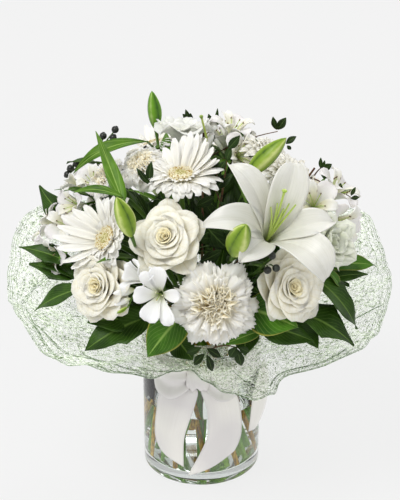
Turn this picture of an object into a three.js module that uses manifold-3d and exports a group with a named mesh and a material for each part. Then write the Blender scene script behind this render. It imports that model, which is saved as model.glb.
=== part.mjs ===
// A table centrepiece: a hand-tied bunch of white flowers with a web wrap, standing in a glass
// vase of water that has a satin ribbon tied round it. Millimetres, +Z up, the front faces -Y,
// and the origin is the middle of the vase's foot.
import * as THREE from "three";
import { mergeVertices } from "three/addons/utils/BufferGeometryUtils.js";
import Module from "manifold-3d";

const wasm = await Module();
wasm.setup();

// ---- driving dimensions ----
const VASE = { across: 120, height: 150, wall: 4, base: 12, rimRound: 1.5, footRound: 2, floorRound: 3 };
const VASE_SEGMENTS = 48;
const WATER = { level: 78, segments: 36 };
const GAP = 0.3; // the clearance between two pieces that rest on each other

const TIE_HEIGHT = 148; // where the stems cross and are tied
const RING_PITCH = 6.3; // from one ring of stems to the next, at the tie
const RING_LEAN = [0, 0.135, 0.225, 0.31, 0.33]; // sideways travel per millimetre of height
const RING_START = [0, -132, -128, -117, -126]; // azimuth of each ring's first stem, at the tie
const STEM_SIDES = 6;
const STEM_STEPS = 6;
const TIE = { cord: 1.5, sides: 6, segments: 24 }; // the radius of the cord, and its facets

const SHRINK = 0.86; // a plain head's radius as a share of its petals' reach

const RIBBON = { width: 38, thick: 0.8, bandLow: 116, bandHigh: 146 };
const WRAP = {
  thick: 1.2,
  innerReach: 33,
  pastRim: 2, // it lies level this far past the rim
  flare: 1.1, // how its slope grows towards the edge
  ruffles: 11,
  ruffleHeight: 5,
  segments: 60,
  steps: 6,
};
// The wrap's edge, going round: azimuth, reach from the axis, height.
const WRAP_EDGE = [
  [-180, 170, 204],
  [-150, 178, 214],
  [-119, 191, 238],
  [-103, 198, 222],
  [-89, 195, 200],
  [-74, 187, 190],
  [-62, 178, 180],
  [-50, 166, 175],
  [-38, 150, 170],
  [-27, 118, 163],
  [-18, 95, 156],
  [-4, 90, 150],
  [10, 100, 145],
  [22, 124, 138],
  [33, 124, 146],
  [42, 116, 158],
  [50, 160, 172],
  [57, 178, 176],
  [66, 180, 180],
  [77, 184, 186],
  [90, 191, 195],
  [103, 196, 206],
  [119, 194, 232],
  [150, 180, 214],
];

// Each flower: its kind, the middle of its face, the azimuth and elevation that it faces,
// and its width across the petals. Azimuth 0 is the front, and grows towards +X.
const FLOWERS = {
  rose_centre: { kind: "rose", at: [-34, -113, 319], faces: [-12, 42], across: 68 },
  rose_left: { kind: "rose", at: [-98, -116, 261], faces: [-40, 25], across: 58 },
  rose_right: { kind: "rose", at: [93, -119, 265], faces: [34, 25], across: 70 },
  rose_back: { kind: "rose", at: [25, 141, 284], faces: [170, 30], across: 68 },
  gerbera_top: { kind: "gerbera", at: [-20, -51, 357], faces: [-25, 78], across: 84 },
  gerbera_left: { kind: "gerbera", at: [-96, -86, 305], faces: [-60, 33], across: 82 },
  gerbera_back: { kind: "gerbera", at: [-61, 106, 315], faces: [-150, 45], across: 82 },
  carnation_front: { kind: "carnation", at: [14, -151, 262], faces: [5, 20], across: 84 },
  carnation_upper_left: { kind: "carnation", at: [-61, -20, 353], faces: [-60, 60], across: 50 },
  carnation_far_left: { kind: "carnation", at: [-99, -15, 334], faces: [-78, 48], across: 40 },
  carnation_back: { kind: "carnation", at: [110, 92, 284], faces: [130, 30], across: 76 },
  lily: { kind: "lily", at: [70, -118, 340], faces: [25, 48], across: 124 },
  alstroemeria_left: { kind: "alstroemeria", at: [-152, 6, 261], faces: [-85, 25], across: 50 },
  alstroemeria_upper_left: { kind: "alstroemeria", at: [-127, 11, 309], faces: [-90, 45], across: 38 },
  alstroemeria_right: { kind: "alstroemeria", at: [129, -20, 304], faces: [75, 35], across: 46 },
  alstroemeria_top: { kind: "alstroemeria", at: [30, 30, 362], faces: [140, 80], across: 38 },
  alstroemeria_back: { kind: "alstroemeria", at: [35, 90, 337], faces: [160, 50], across: 46 },
  lisianthus_top: { kind: "lisianthus", at: [-16, 46, 358], faces: [180, 75], across: 50 },
  lisianthus_right: { kind: "lisianthus", at: [131, -59, 284], faces: [60, 30], across: 42 },
  lisianthus_back: { kind: "lisianthus", at: [-54, 140, 264], faces: [-160, 22], across: 50 },
  chrysanthemum_top_right: { kind: "chrysanthemum", at: [70, 22, 349], faces: [90, 62], across: 46 },
  chrysanthemum_right: { kind: "chrysanthemum", at: [87, -15, 342], faces: [60, 55], across: 48 },
  chrysanthemum_back: { kind: "chrysanthemum", at: [-107, 97, 271], faces: [-131, 25], across: 52 },
  freesia: { kind: "freesia", at: [-43, -143, 271], faces: [-15, 25], across: 42 },
};
// The flowers whose head and stem are two nodes.
const SEPARATE_HEADS = [
  "rose_centre",
  "rose_left",
  "rose_right",
  "gerbera_top",
  "gerbera_left",
  "carnation_front",
  "lily",
];

// Each branch: the end of its twig, and its leaves as tip and width.
const BRANCHES = {
  foliage_left_back: {
    at: [-112, 52, 236],
    leaves: [{ tip: [-163, 75, 283], width: 30 }, { tip: [-172, 112, 240], width: 30 }],
  },
  foliage_left: {
    at: [-117, -4, 208],
    leaves: [{ tip: [-176, 44, 222], width: 26 }, { tip: [-165, -49, 203], width: 22 }],
  },
  foliage_front_left: {
    at: [-66, -64, 193],
    leaves: [{ tip: [-109, -103, 188], width: 32 }, { tip: [-80, -120, 200], width: 18 }],
  },
  foliage_front: {
    at: [-24, -62, 190],
    leaves: [{ tip: [-49, -122, 194], width: 36 }, { tip: [-8, -118, 186], width: 16 }],
  },
  foliage_front_right: {
    at: [38, -66, 196],
    leaves: [{ tip: [88, -108, 206], width: 36 }, { tip: [42, -122, 192], width: 18 }],
  },
  foliage_right_front: {
    at: [82, -58, 194],
    leaves: [{ tip: [112, -100, 186], width: 30 }, { tip: [146, -96, 194], width: 30 }],
  },
  foliage_right: {
    at: [116, -8, 214],
    leaves: [{ tip: [172, 14, 222], width: 20 }, { tip: [156, -60, 205], width: 28 }],
  },
  foliage_back_right: {
    at: [66, 88, 212],
    leaves: [{ tip: [112, 112, 240], width: 32 }, { tip: [44, 150, 230], width: 32 }],
  },
  foliage_back_left: {
    at: [-62, 92, 212],
    leaves: [{ tip: [-20, 152, 222], width: 32 }, { tip: [-100, 122, 240], width: 32 }],
  },
  sprig_top: {
    at: [2, 66, 340],
    leaves: [{ tip: [-17, 84, 352], width: 8 }, { tip: [14, 80, 362], width: 8 }],
  },
  sprig_right: {
    at: [112, 30, 318],
    leaves: [{ tip: [128, 22, 332], width: 9 }, { tip: [147, 14, 318], width: 9 }],
  },
  sprig_centre: {
    at: [22, -44, 345],
    leaves: [{ tip: [28, -30, 374], width: 12 }, { tip: [44, -52, 358], width: 12 }],
  },
  sprig_front: {
    at: [14, -104, 192],
    leaves: [{ tip: [13, -132, 182], width: 9 }, { tip: [36, -126, 190], width: 9 }],
  },
};
// Long lily leaves and closed buds: base, tip and width of each.
const LILY_BUDS = {
  lily: [
    { from: [22, -104, 300], to: [34, -134, 336], width: 20 },
    { from: [42, -48, 346], to: [80, -42, 384], width: 17 },
  ],
  lily_bud_left: [{ from: [-64, -118, 318], to: [-77, -127, 364], width: 17 }],
  lily_bud_top: [{ from: [-45, 60, 345], to: [-49, 60, 388], width: 13 }],
};
const LILY_LEAVES = {
  lily_bud_left: [
    { from: [-56, -64, 328], tip: [-98, -22, 376], width: 13 },
    { from: [-56, -64, 328], tip: [-120, -42, 344], width: 13 },
  ],
  lily_bud_top: [{ from: [-44, 26, 330], tip: [-122, 0, 338], width: 14, arch: 0.3 }],
};
// Berry twigs: the twig's end, and the berries round it.
const BERRY = 7.5;
const BERRIES = {
  berries_left: {
    at: [-100, 52, 324],
    berries: [[-98, 58, 349], [-88, 62, 347], [-91, 56, 338], [-128, 50, 318]],
  },
  berries_front: { at: [60, -98, 280], berries: [[63, -120, 303], [62, -126, 288]] },
};

// The stems in each ring at the tie, outwards from the middle, each ring in order going round.
const RINGS = [
  ["sprig_top"],
  [
    "lisianthus_top", "lily_bud_top", "carnation_upper_left",
    "gerbera_top", "chrysanthemum_top_right", "alstroemeria_top",
  ],
  [
    "gerbera_back", "berries_left", "alstroemeria_upper_left", "carnation_far_left",
    "lily_bud_left", "rose_centre", "sprig_centre", "lily",
    "chrysanthemum_right", "sprig_right", "alstroemeria_back",
  ],
  [
    "lisianthus_back", "chrysanthemum_back", "alstroemeria_left", "gerbera_left", "rose_left",
    "freesia", "carnation_front", "berries_front", "rose_right", "lisianthus_right",
    "alstroemeria_right", "carnation_back", "rose_back",
  ],
  [
    "foliage_back_left", "foliage_left_back", "foliage_left", "foliage_front_left",
    "foliage_front", "sprig_front", "foliage_front_right", "foliage_right_front",
    "foliage_right", "foliage_back_right",
  ],
];
const STEM_RADIUS = {
  rose: 2.8,
  gerbera: 2.8,
  carnation: 2.2,
  lily: 2.9,
  alstroemeria: 1.9,
  lisianthus: 2,
  chrysanthemum: 2.2,
  freesia: 1.8,
  foliage: 2.4,
  sprig: 1.5,
  berries: 1.6,
};

// ---- materials ----
function finish(color, roughness) {
  return new THREE.MeshStandardMaterial({ color, roughness, metalness: 0 });
}
const CLEAR_GLASS = finish("#e8efec", 0.05);
CLEAR_GLASS.transparent = true;
CLEAR_GLASS.opacity = 0.3;
const CLEAR_WATER = finish("#dfe9e4", 0.05);
CLEAR_WATER.transparent = true;
CLEAR_WATER.opacity = 0.4;
const IVORY_SATIN = finish("#f1ede7", 0.35);
const GREEN_WEB = finish("#c9dccb", 0.8);
const JUTE_CORD = finish("#a99468", 0.9);
const FRESH_STEM = finish("#6f9148", 0.6);
const DARK_LEAF = finish("#2c4a2b", 0.45);
const LILY_GREEN = finish("#7c9c4a", 0.5);
const BLACK_BERRY = finish("#23262a", 0.35);
const CREAM_PETAL = finish("#f5f0df", 0.6);
const WHITE_PETAL = finish("#f4f3ee", 0.6);

// ---- directions and places ----
const UP = new THREE.Vector3(0, 0, 1);
const turn = THREE.MathUtils.degToRad;

function vector([x, y, z]) {
  return new THREE.Vector3(x, y, z);
}

function around(azimuth, reach, height) {
  return new THREE.Vector3(reach * Math.sin(azimuth), -reach * Math.cos(azimuth), height);
}

function facing([azimuth, elevation]) {
  return around(turn(azimuth), Math.cos(turn(elevation)), Math.sin(turn(elevation)));
}

// ---- solids ----
function solidOf(geometry) {
  const bare = geometry.index ? geometry.toNonIndexed() : geometry.clone();
  bare.deleteAttribute("normal");
  bare.deleteAttribute("uv");
  const merged = mergeVertices(bare, 1e-3);
  return new wasm.Manifold(
    new wasm.Mesh({
      numProp: 3,
      vertProperties: merged.getAttribute("position").array,
      triVerts: new Uint32Array(merged.index.array),
    }),
  );
}

function geometryOf(solid) {
  const mesh = solid.getMesh();
  return new THREE.BufferGeometry()
    .setAttribute("position", new THREE.BufferAttribute(new Float32Array(mesh.vertProperties), 3))
    .setIndex(new THREE.BufferAttribute(new Uint32Array(mesh.triVerts), 1));
}

function joined(geometries) {
  return geometryOf(geometries.map(solidOf).reduce((whole, next) => whole.add(next)));
}

// A solid of revolution about +Z from its profile of radius and height.
function turned(profile, segments) {
  const points = profile.map(([radius, height]) => new THREE.Vector2(radius, height));
  return new THREE.LatheGeometry(points, segments).rotateX(Math.PI / 2);
}

// A thin box whose corners are moved to where place(u, v, side) says: u runs 0 to 1 along it,
// v from -0.5 to 0.5 across it, and side is -0.5 underneath and 0.5 on top.
function shaped(alongSteps, acrossSteps, place) {
  const geometry = new THREE.BoxGeometry(1, 1, 1, alongSteps, acrossSteps, 1);
  const corner = geometry.getAttribute("position");
  for (let i = 0; i < corner.count; i++) {
    const moved = place(corner.getX(i) + 0.5, corner.getY(i), corner.getZ(i));
    corner.setXYZ(i, moved.x, moved.y, moved.z);
  }
  return geometry;
}

function tube(path, radius, steps, sides) {
  const section = new THREE.Shape();
  for (let i = 0; i < sides; i++) {
    const angle = (2 * Math.PI * i) / sides;
    const x = radius * Math.cos(angle);
    const y = radius * Math.sin(angle);
    if (i === 0) section.moveTo(x, y);
    else section.lineTo(x, y);
  }
  section.closePath();
  return new THREE.ExtrudeGeometry(section, { steps, extrudePath: path });
}

// ---- stems ----
// A stem is straight from its cut end up to the tie, and then bends over to its flower. Its
// points lie close together only where it bends.
class StemPath extends THREE.Curve {
  constructor(foot, tie, bend) {
    super();
    Object.assign(this, { foot, tie, bend, straightShare: 1 / STEM_STEPS });
  }
  getUtoTmapping(u) {
    return u;
  }
  getPoint(t) {
    if (t < this.straightShare) return this.foot.clone().lerp(this.tie, t / this.straightShare);
    return this.bend.getPoint((t - this.straightShare) / (1 - this.straightShare));
  }
}

function stemPlace(name) {
  const ring = RINGS.findIndex((names) => names.includes(name));
  const names = RINGS[ring];
  const azimuth = turn(RING_START[ring] + (360 * names.indexOf(name)) / names.length);
  const tie = around(azimuth, ring * RING_PITCH, TIE_HEIGHT);
  const lean = new THREE.Vector3(-Math.cos(azimuth), -Math.sin(azimuth), 0);
  const rise = lean.multiplyScalar(RING_LEAN[ring]).add(UP);
  return { tie, rise };
}

function stemRadius(name) {
  return STEM_RADIUS[FLOWERS[name]?.kind ?? name.split("_")[0]];
}

function stemPath(name, top, axis) {
  const { tie, rise } = stemPlace(name);
  const tilt = Math.hypot(rise.x, rise.y);
  const floor = VASE.base + GAP + tilt * stemRadius(name);
  const foot = tie.clone().addScaledVector(rise, floor - TIE_HEIGHT);
  const reach = 0.38 * tie.distanceTo(top);
  const bend = new THREE.CubicBezierCurve3(
    tie,
    tie.clone().addScaledVector(rise.clone().normalize(), reach),
    top.clone().addScaledVector(axis, -reach),
    top,
  );
  return new StemPath(foot, tie, bend);
}

function stem(name, top, axis) {
  return tube(stemPath(name, top, axis), stemRadius(name), STEM_STEPS, STEM_SIDES);
}

// ---- heads: radius and height of each profile, from the stem up ----
const HEAD_DEPTH = {
  rose: 46,
  gerbera: 15,
  carnation: 40,
  lily: 66,
  alstroemeria: 40,
  lisianthus: 36,
  chrysanthemum: 24,
  freesia: 32,
};
const HEAD_PROFILE = {
  rose: (r) => [[0, 0], [6, 1], [0.6 * r, 12], [0.95 * r, 28], [r, 38], [0.7 * r, 46], [0, 44]],
  gerbera: (r) => [[0, 0], [6, 1], [11, 5], [r, 13], [r, 15], [12, 10], [0, 10]],
  carnation: (r) => [[0, 0], [6, 2], [7, 18], [0.9 * r, 27], [r, 33], [0.75 * r, 40], [0, 42]],
  lily: (r) => [
    [0, 0], [5, 1], [11, 30], [0.5 * r, 54], [r, 66],
    [0.98 * r, 68], [0.46 * r, 57.5], [9, 34], [0, 30],
  ],
  alstroemeria: (r) => [[0, 0], [3, 1], [6, 12], [0.5 * r, 26], [r, 38], [0.9 * r, 40], [0, 24]],
  lisianthus: (r) => [[0, 0], [5, 1], [0.6 * r, 9], [0.95 * r, 24], [r, 36], [0.9 * r, 36], [0, 26]],
  chrysanthemum: (r) => [[0, 0], [6, 1], [0.7 * r, 4], [r, 12], [0.85 * r, 20], [0.4 * r, 24], [0, 25]],
  freesia: (r) => [[0, 0], [2.5, 1], [5, 14], [0.6 * r, 24], [r, 32], [0.9 * r, 33], [0, 20]],
};
const HEAD_SEGMENTS = 12;
const LILY_PETALS = 6;
const LILY_LOBE = 0.42; // how far the edge draws in between two petals

function standOn(geometry, base, axis) {
  const rotation = new THREE.Quaternion().setFromUnitVectors(UP, axis);
  return geometry.applyQuaternion(rotation).translate(base.x, base.y, base.z);
}

function plainHead(kind, across) {
  const radius = (SHRINK * across) / 2;
  const profile = HEAD_PROFILE[kind](radius);
  if (kind !== "lily") return turned(profile, HEAD_SEGMENTS);
  const star = turned(profile, 2 * LILY_PETALS);
  const corner = star.getAttribute("position");
  for (let i = 0; i < corner.count; i++) {
    const x = corner.getX(i);
    const y = corner.getY(i);
    const between = (1 - Math.cos(LILY_PETALS * Math.atan2(y, x))) / 2;
    const drawnIn = 1 - LILY_LOBE * between * Math.min(1, (x * x + y * y) / radius ** 2);
    corner.setXY(i, x * drawnIn, y * drawnIn);
  }
  return star;
}

function headPlace(flower) {
  const axis = facing(flower.faces);
  const base = vector(flower.at).addScaledVector(axis, -HEAD_DEPTH[flower.kind]);
  return { axis, base };
}

function head(flower) {
  const { axis, base } = headPlace(flower);
  return standOn(plainHead(flower.kind, flower.across), base, axis);
}

// ---- leaves, buds and berries ----
const LEAF_THICK = 1.2;
const LEAF_EDGE = 0.9; // half the width left at both ends of a blade

function blade(from, tip, width, arch = 0.08) {
  const along = tip.clone().sub(from);
  const length = along.length();
  along.normalize();
  const side = new THREE.Vector3().crossVectors(UP, along).normalize();
  const out = new THREE.Vector3().crossVectors(along, side);
  return shaped(5, 2, (u, v, face) => {
    const halfWidth = LEAF_EDGE + (width / 2) * Math.sin(Math.PI * u ** 0.8) ** 1.2;
    const lift = arch * length * 4 * u * (1 - u) + 0.2 * halfWidth * Math.abs(2 * v);
    return from
      .clone()
      .addScaledVector(along, u * length)
      .addScaledVector(side, 2 * v * halfWidth)
      .addScaledVector(out, lift + face * LEAF_THICK);
  });
}

function bud(from, to, width) {
  const axis = to.clone().sub(from);
  const length = axis.length();
  const shares = [0.06, 0.25, 0.5, 0.75, 0.95];
  const profile = shares.map((u) => [(width / 2) * Math.sin(Math.PI * u ** 0.9) ** 0.7, u * length]);
  return standOn(turned([[0, 0], ...profile, [0, length]], 8), from, axis.normalize());
}

function straight(from, to, radius) {
  return tube(new THREE.LineCurve3(from, to), radius, 1, STEM_SIDES);
}

// ---- the centrepiece ----
const centrepiece = new THREE.Group();

function piece(name, geometry, material) {
  const mesh = new THREE.Mesh(geometry, material);
  mesh.name = name;
  centrepiece.add(mesh);
}

function glassVase() {
  const outside = VASE.across / 2;
  const inside = outside - VASE.wall;
  const { height, base, rimRound, footRound, floorRound } = VASE;
  return turned(
    [
      [0, 0], [outside - footRound, 0], [outside, footRound], [outside, height - rimRound],
      [outside - rimRound, height], [inside + rimRound, height], [inside, height - rimRound],
      [inside, base + floorRound], [inside - floorRound, base], [0, base],
    ],
    VASE_SEGMENTS,
  );
}

// Water fills the vase round the stems, with a channel for each of them.
function vaseWater(stems) {
  const reach = VASE.across / 2 - VASE.wall - GAP;
  const floor = VASE.base + GAP;
  const { level, segments } = WATER;
  const profile = [
    [0, floor], [reach - VASE.floorRound, floor], [reach, floor + VASE.floorRound],
    [reach, level], [0, level],
  ];
  let water = solidOf(turned(profile, segments));
  for (const name of stems) {
    const { tie, rise } = stemPlace(name);
    const channel = (stemRadius(name) + GAP) / Math.cos(Math.PI / STEM_SIDES);
    const low = tie.clone().addScaledVector(rise, -TIE_HEIGHT);
    const high = tie.clone().addScaledVector(rise, level + channel - TIE_HEIGHT);
    water = water.subtract(solidOf(straight(low, high, channel)));
  }
  return geometryOf(water);
}

// The tie lies round the outer ring of stems, just under the wrap.
function stemTie() {
  const { cord, sides, segments } = TIE;
  const reach = (RINGS.length - 1) * RING_PITCH + STEM_RADIUS.foliage + GAP + cord;
  const profile = [];
  for (let i = 0; i <= sides; i++) {
    const angle = (2 * Math.PI * i) / sides;
    profile.push([reach + cord * Math.cos(angle), TIE_HEIGHT - cord + cord * Math.sin(angle)]);
  }
  return turned(profile, segments);
}

// The web wrap rests on the rim and flares out in ruffles to its edge.
function webWrap() {
  const edge = new THREE.CatmullRomCurve3(
    WRAP_EDGE.map(([azimuth, reach, height]) => around(turn(azimuth), reach, height)),
    true,
  );
  const rimReach = VASE.across / 2 + WRAP.pastRim;
  const rimTop = VASE.height + GAP + WRAP.thick / 2;
  const profile = [];
  for (let i = 0; i <= WRAP.steps; i++) profile.push([1 + i / WRAP.steps, -0.5]);
  for (let i = WRAP.steps; i >= 0; i--) profile.push([1 + i / WRAP.steps, 0.5]);
  profile.push([1, -0.5]);
  const wrap = turned(profile, WRAP.segments);
  const corner = wrap.getAttribute("position");
  for (let i = 0; i < corner.count; i++) {
    const x = corner.getX(i);
    const y = corner.getY(i);
    const round = Math.atan2(x, -y) / (2 * Math.PI) + 0.5;
    const end = edge.getPoint(Math.round(round * WRAP.segments) / WRAP.segments);
    const out = Math.hypot(x, y) - 1;
    const endReach = Math.hypot(end.x, end.y);
    const reach = WRAP.innerReach + (endReach - WRAP.innerReach) * out;
    const beyond = Math.max(0, (reach - rimReach) / (endReach - rimReach));
    const ruffle = WRAP.ruffleHeight * beyond ** 1.5 * Math.sin(2 * Math.PI * WRAP.ruffles * round);
    const height = rimTop + (end.z - rimTop) * beyond ** WRAP.flare + ruffle;
    corner.setXYZ(
      i,
      (reach * end.x) / endReach,
      (reach * end.y) / endReach,
      height + corner.getZ(i) * WRAP.thick,
    );
  }
  return wrap;
}

// ---- ribbon ----
const RIBBON_REACH = VASE.across / 2 + GAP + RIBBON.thick;
const KNOT = { azimuth: -3, height: 131, halfWidth: 11, halfDepth: 5, halfHeight: 13 };

function ribbonBand() {
  const inner = VASE.across / 2 + GAP;
  const { bandLow, bandHigh } = RIBBON;
  const outer = RIBBON_REACH;
  return turned(
    [[inner, bandLow], [outer, bandLow], [outer, bandHigh], [inner, bandHigh], [inner, bandLow]],
    48,
  );
}

function ribbonKnot() {
  const middle = around(turn(KNOT.azimuth), RIBBON_REACH + GAP + KNOT.halfDepth, KNOT.height);
  return new THREE.SphereGeometry(1, 12, 8)
    .scale(KNOT.halfWidth, KNOT.halfDepth, KNOT.halfHeight)
    .rotateZ(turn(KNOT.azimuth))
    .translate(middle.x, middle.y, middle.z);
}

// A loop lies against the band: out along its outer layer and back along its inner one.
const LOOP = { bulge: 3.2, open: 0.9, nearWidth: 16, farWidth: 32, drop: 4, begin: KNOT.halfWidth + 1.5 };

function loopPoint(u, length) {
  const angle = 2 * Math.PI * u;
  const along = LOOP.begin + ((length - LOOP.begin) * (1 - Math.cos(angle))) / 2;
  return new THREE.Vector2(along, LOOP.bulge * Math.sin(angle) + LOOP.open * Math.cos(angle / 2));
}

function ribbonLoop(side, length) {
  const clear = LOOP.bulge + RIBBON.thick + GAP;
  return shaped(14, 2, (u, v, face) => {
    const here = loopPoint(u, length);
    const course = loopPoint(u + 0.01, length).sub(loopPoint(u - 0.01, length)).normalize();
    const skin = side * face * RIBBON.thick;
    const along = here.x - course.y * skin;
    const reach = RIBBON_REACH + clear + here.y + course.x * skin;
    const out = here.x / length;
    const width = LOOP.nearWidth + (LOOP.farWidth - LOOP.nearWidth) * out;
    const azimuth = turn(KNOT.azimuth) + (side * along) / RIBBON_REACH;
    return around(azimuth, reach, KNOT.height - LOOP.drop * out + v * width);
  });
}

// A tail hangs down the glass. Its middle is listed from the top as azimuth, reach and height,
// and cut says how far each corner of its slanting end lies above that.
const TAILS = {
  ribbon_tail_left: {
    middle: [[-9, 66.4, 117.6], [-18, 70, 106], [-28, 66, 80], [-24, 64, 52]],
    cut: [14, -14],
  },
  ribbon_tail_right: {
    middle: [[9, 66.4, 119], [17, 70, 106], [21, 66, 78], [10, 65, 38]],
    cut: [-9, 9],
  },
  ribbon_tail_side: {
    middle: [[80, 60.8, 115.4], [78, 69, 100], [70, 71, 84], [60, 68, 72]],
    cut: [-6, 6],
  },
};

const TAIL_GATHER = 0.45; // the share of its width that a tail keeps at the knot
const TAIL_OPENS = 0.4; // the share of its length at which it has opened to its full width
const CUT_FROM = 0.6;

function ribbonTail({ middle, cut }) {
  const line = new THREE.CatmullRomCurve3(middle.map(vector));
  return shaped(8, 2, (u, v, face) => {
    const centre = line.getPoint(u);
    const opened = Math.min(1, u / TAIL_OPENS);
    const width = RIBBON.width * (TAIL_GATHER + (1 - TAIL_GATHER) * opened);
    const slant = cut[v < 0 ? 0 : 1] * Math.abs(2 * v) * Math.max(0, (u - CUT_FROM) / (1 - CUT_FROM));
    const azimuth = turn(centre.x) + (v * width) / centre.y;
    return around(azimuth, centre.y + face * RIBBON.thick, centre.z + slant);
  });
}

// ---- building it ----
piece("vase", glassVase(), CLEAR_GLASS);
piece("water", vaseWater(RINGS.flat()), CLEAR_WATER);
piece("bouquet_tie", stemTie(), JUTE_CORD);
piece("web_wrap", webWrap(), GREEN_WEB);
piece("ribbon_band", ribbonBand(), IVORY_SATIN);
piece("ribbon_knot", ribbonKnot(), IVORY_SATIN);
piece("ribbon_loop_left", ribbonLoop(-1, 46), IVORY_SATIN);
piece("ribbon_loop_right", ribbonLoop(1, 40), IVORY_SATIN);
for (const [name, tail] of Object.entries(TAILS)) piece(name, ribbonTail(tail), IVORY_SATIN);

for (const [name, flower] of Object.entries(FLOWERS)) {
  if (name === "lily") continue;
  const { axis, base } = headPlace(flower);
  const petals = ["rose", "gerbera"].includes(flower.kind) ? CREAM_PETAL : WHITE_PETAL;
  if (SEPARATE_HEADS.includes(name)) {
    piece(name + "_head", head(flower), petals);
    piece(name + "_stem", stem(name, base.clone().addScaledVector(axis, -GAP), axis), FRESH_STEM);
  } else {
    const top = base.clone().addScaledVector(axis, 2);
    piece(name, joined([head(flower), stem(name, top, axis)]), petals);
  }
}

// Lily stems carry the open flower, the closed buds and the long leaves.
const SIDE_STALK_DROP = 8; // how far below its top a lily stem parts into side stalks
const LILY_STEM_TOP = {
  lily_bud_left: [-64, -92, 300],
  lily_bud_top: [-44, 50, 332],
};
function lilyStem(name, top, axis) {
  const parts = [stem(name, top, axis)];
  const joint = top.clone().addScaledVector(axis, -SIDE_STALK_DROP);
  for (const { from, to, width } of LILY_BUDS[name]) {
    const base = vector(from);
    const past = base.clone().add(vector(to).sub(base).setLength(2));
    parts.push(straight(joint, past, 1.6), bud(base, vector(to), width));
  }
  for (const { from, tip, width, arch } of LILY_LEAVES[name] ?? []) {
    parts.push(straight(joint, vector(from), 1.4), blade(vector(from), vector(tip), width, arch));
  }
  return joined(parts);
}
const lilyHead = headPlace(FLOWERS.lily);
piece("lily_bloom", head(FLOWERS.lily), WHITE_PETAL);
piece(
  "lily_stem_with_buds",
  lilyStem("lily", lilyHead.base.clone().addScaledVector(lilyHead.axis, -GAP), lilyHead.axis),
  LILY_GREEN,
);
for (const [name, top] of Object.entries(LILY_STEM_TOP)) {
  piece(name, lilyStem(name, vector(top), facing([-35, 70])), LILY_GREEN);
}

for (const [name, { at, leaves }] of Object.entries(BRANCHES)) {
  const top = vector(at);
  const axis = top.clone().sub(new THREE.Vector3(0, 0, TIE_HEIGHT)).normalize();
  const root = top.clone().addScaledVector(axis, -2);
  const blades = leaves.map(({ tip, width }) => blade(root, vector(tip), width));
  piece(name, joined([stem(name, top, axis), ...blades]), DARK_LEAF);
}

for (const [name, { at, berries }] of Object.entries(BERRIES)) {
  const top = vector(at);
  const axis = top.clone().sub(new THREE.Vector3(0, 0, TIE_HEIGHT)).normalize();
  const root = top.clone().addScaledVector(axis, -1);
  const round = berries.map((place) =>
    new THREE.SphereGeometry(BERRY / 2, 6, 4).translate(...place),
  );
  const twigs = berries.map((place) => straight(root, vector(place), 0.8));
  piece(name, joined([stem(name, top, axis), ...twigs, ...round]), BLACK_BERRY);
}

export default centrepiece;
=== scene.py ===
import math
import random

import bpy
import numpy as np
from mathutils import Matrix, Vector


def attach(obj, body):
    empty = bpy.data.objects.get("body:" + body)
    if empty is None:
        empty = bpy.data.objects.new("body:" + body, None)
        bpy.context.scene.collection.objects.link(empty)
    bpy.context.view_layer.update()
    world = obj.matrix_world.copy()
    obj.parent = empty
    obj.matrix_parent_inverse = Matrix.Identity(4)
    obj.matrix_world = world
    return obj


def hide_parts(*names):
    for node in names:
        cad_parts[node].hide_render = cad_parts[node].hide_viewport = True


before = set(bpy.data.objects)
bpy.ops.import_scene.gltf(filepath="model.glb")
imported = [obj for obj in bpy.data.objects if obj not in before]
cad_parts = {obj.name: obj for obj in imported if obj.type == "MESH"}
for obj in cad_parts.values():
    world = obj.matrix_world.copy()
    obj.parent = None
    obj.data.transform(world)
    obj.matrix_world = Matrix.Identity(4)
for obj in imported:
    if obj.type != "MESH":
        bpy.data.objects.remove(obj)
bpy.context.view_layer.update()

# Lengths are written in millimetres and turned into metres by mm.
mm = 0.001

# ---- the studio -------------------------------------------------------------------------------
# The photograph looks down on the front of the vase at 28 degrees, from a long lens about two
# metres away. The bouquet stands on a pale sweep under soft light from above and both sides.
LOOKS_DOWN = math.radians(28)
AIM = Vector((0, 0, 242 * mm))
AWAY = 1900 * mm
LENS, SENSOR = 137.6, 36
SWEEP_SIZE, SWEEP_GLOW = 15, 0.783  # metres, and the strength of its own light
DAYLIGHT = 0.58

bpy.ops.object.camera_add(
    location=AIM + AWAY * Vector((0, -math.cos(LOOKS_DOWN), math.sin(LOOKS_DOWN))),
    rotation=(math.radians(90) - LOOKS_DOWN, 0, 0),
)
camera = bpy.context.object
camera.name = "camera"
camera.data.lens, camera.data.sensor_width = LENS, SENSOR
camera.data.shift_x = -0.003  # the middle of the vase is 1.5 px right of the picture's middle
bpy.context.scene.camera = camera
bpy.context.scene.view_settings.view_transform = "Standard"


def linear(code):
    """An sRGB hex colour, such as "f3f3f3", as the linear RGBA that nodes and lamps take."""
    parts = [int(code[i : i + 2], 16) / 255 for i in (0, 2, 4)]
    return tuple(c / 12.92 if c <= 0.04045 else ((c + 0.055) / 1.055) ** 2.4 for c in parts) + (1,)


def node(material, kind, inputs=None, stops=None, **settings):
    """Adds a node to a material, sets it up and links it. inputs are values, hex colours, nodes or
    their outputs, by the input's name or number, and stops are a ramp's places and hex colours."""
    tree = material.node_tree
    made = tree.nodes.new("ShaderNode" + kind)
    for name, value in settings.items():
        setattr(made, name, value)
    for name, value in (inputs or {}).items():
        if isinstance(value, bpy.types.Node):
            value = value.outputs[0]
        if isinstance(value, bpy.types.NodeSocket):
            tree.links.new(value, made.inputs[name])
        else:
            made.inputs[name].default_value = linear(value) if isinstance(value, str) else value
    if stops:
        ramp = made.color_ramp.elements
        while len(ramp) < len(stops):
            ramp.new(1)
        for element, (place, colour) in zip(ramp, stops):
            element.position, element.color = place, linear(colour)
    return made


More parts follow.
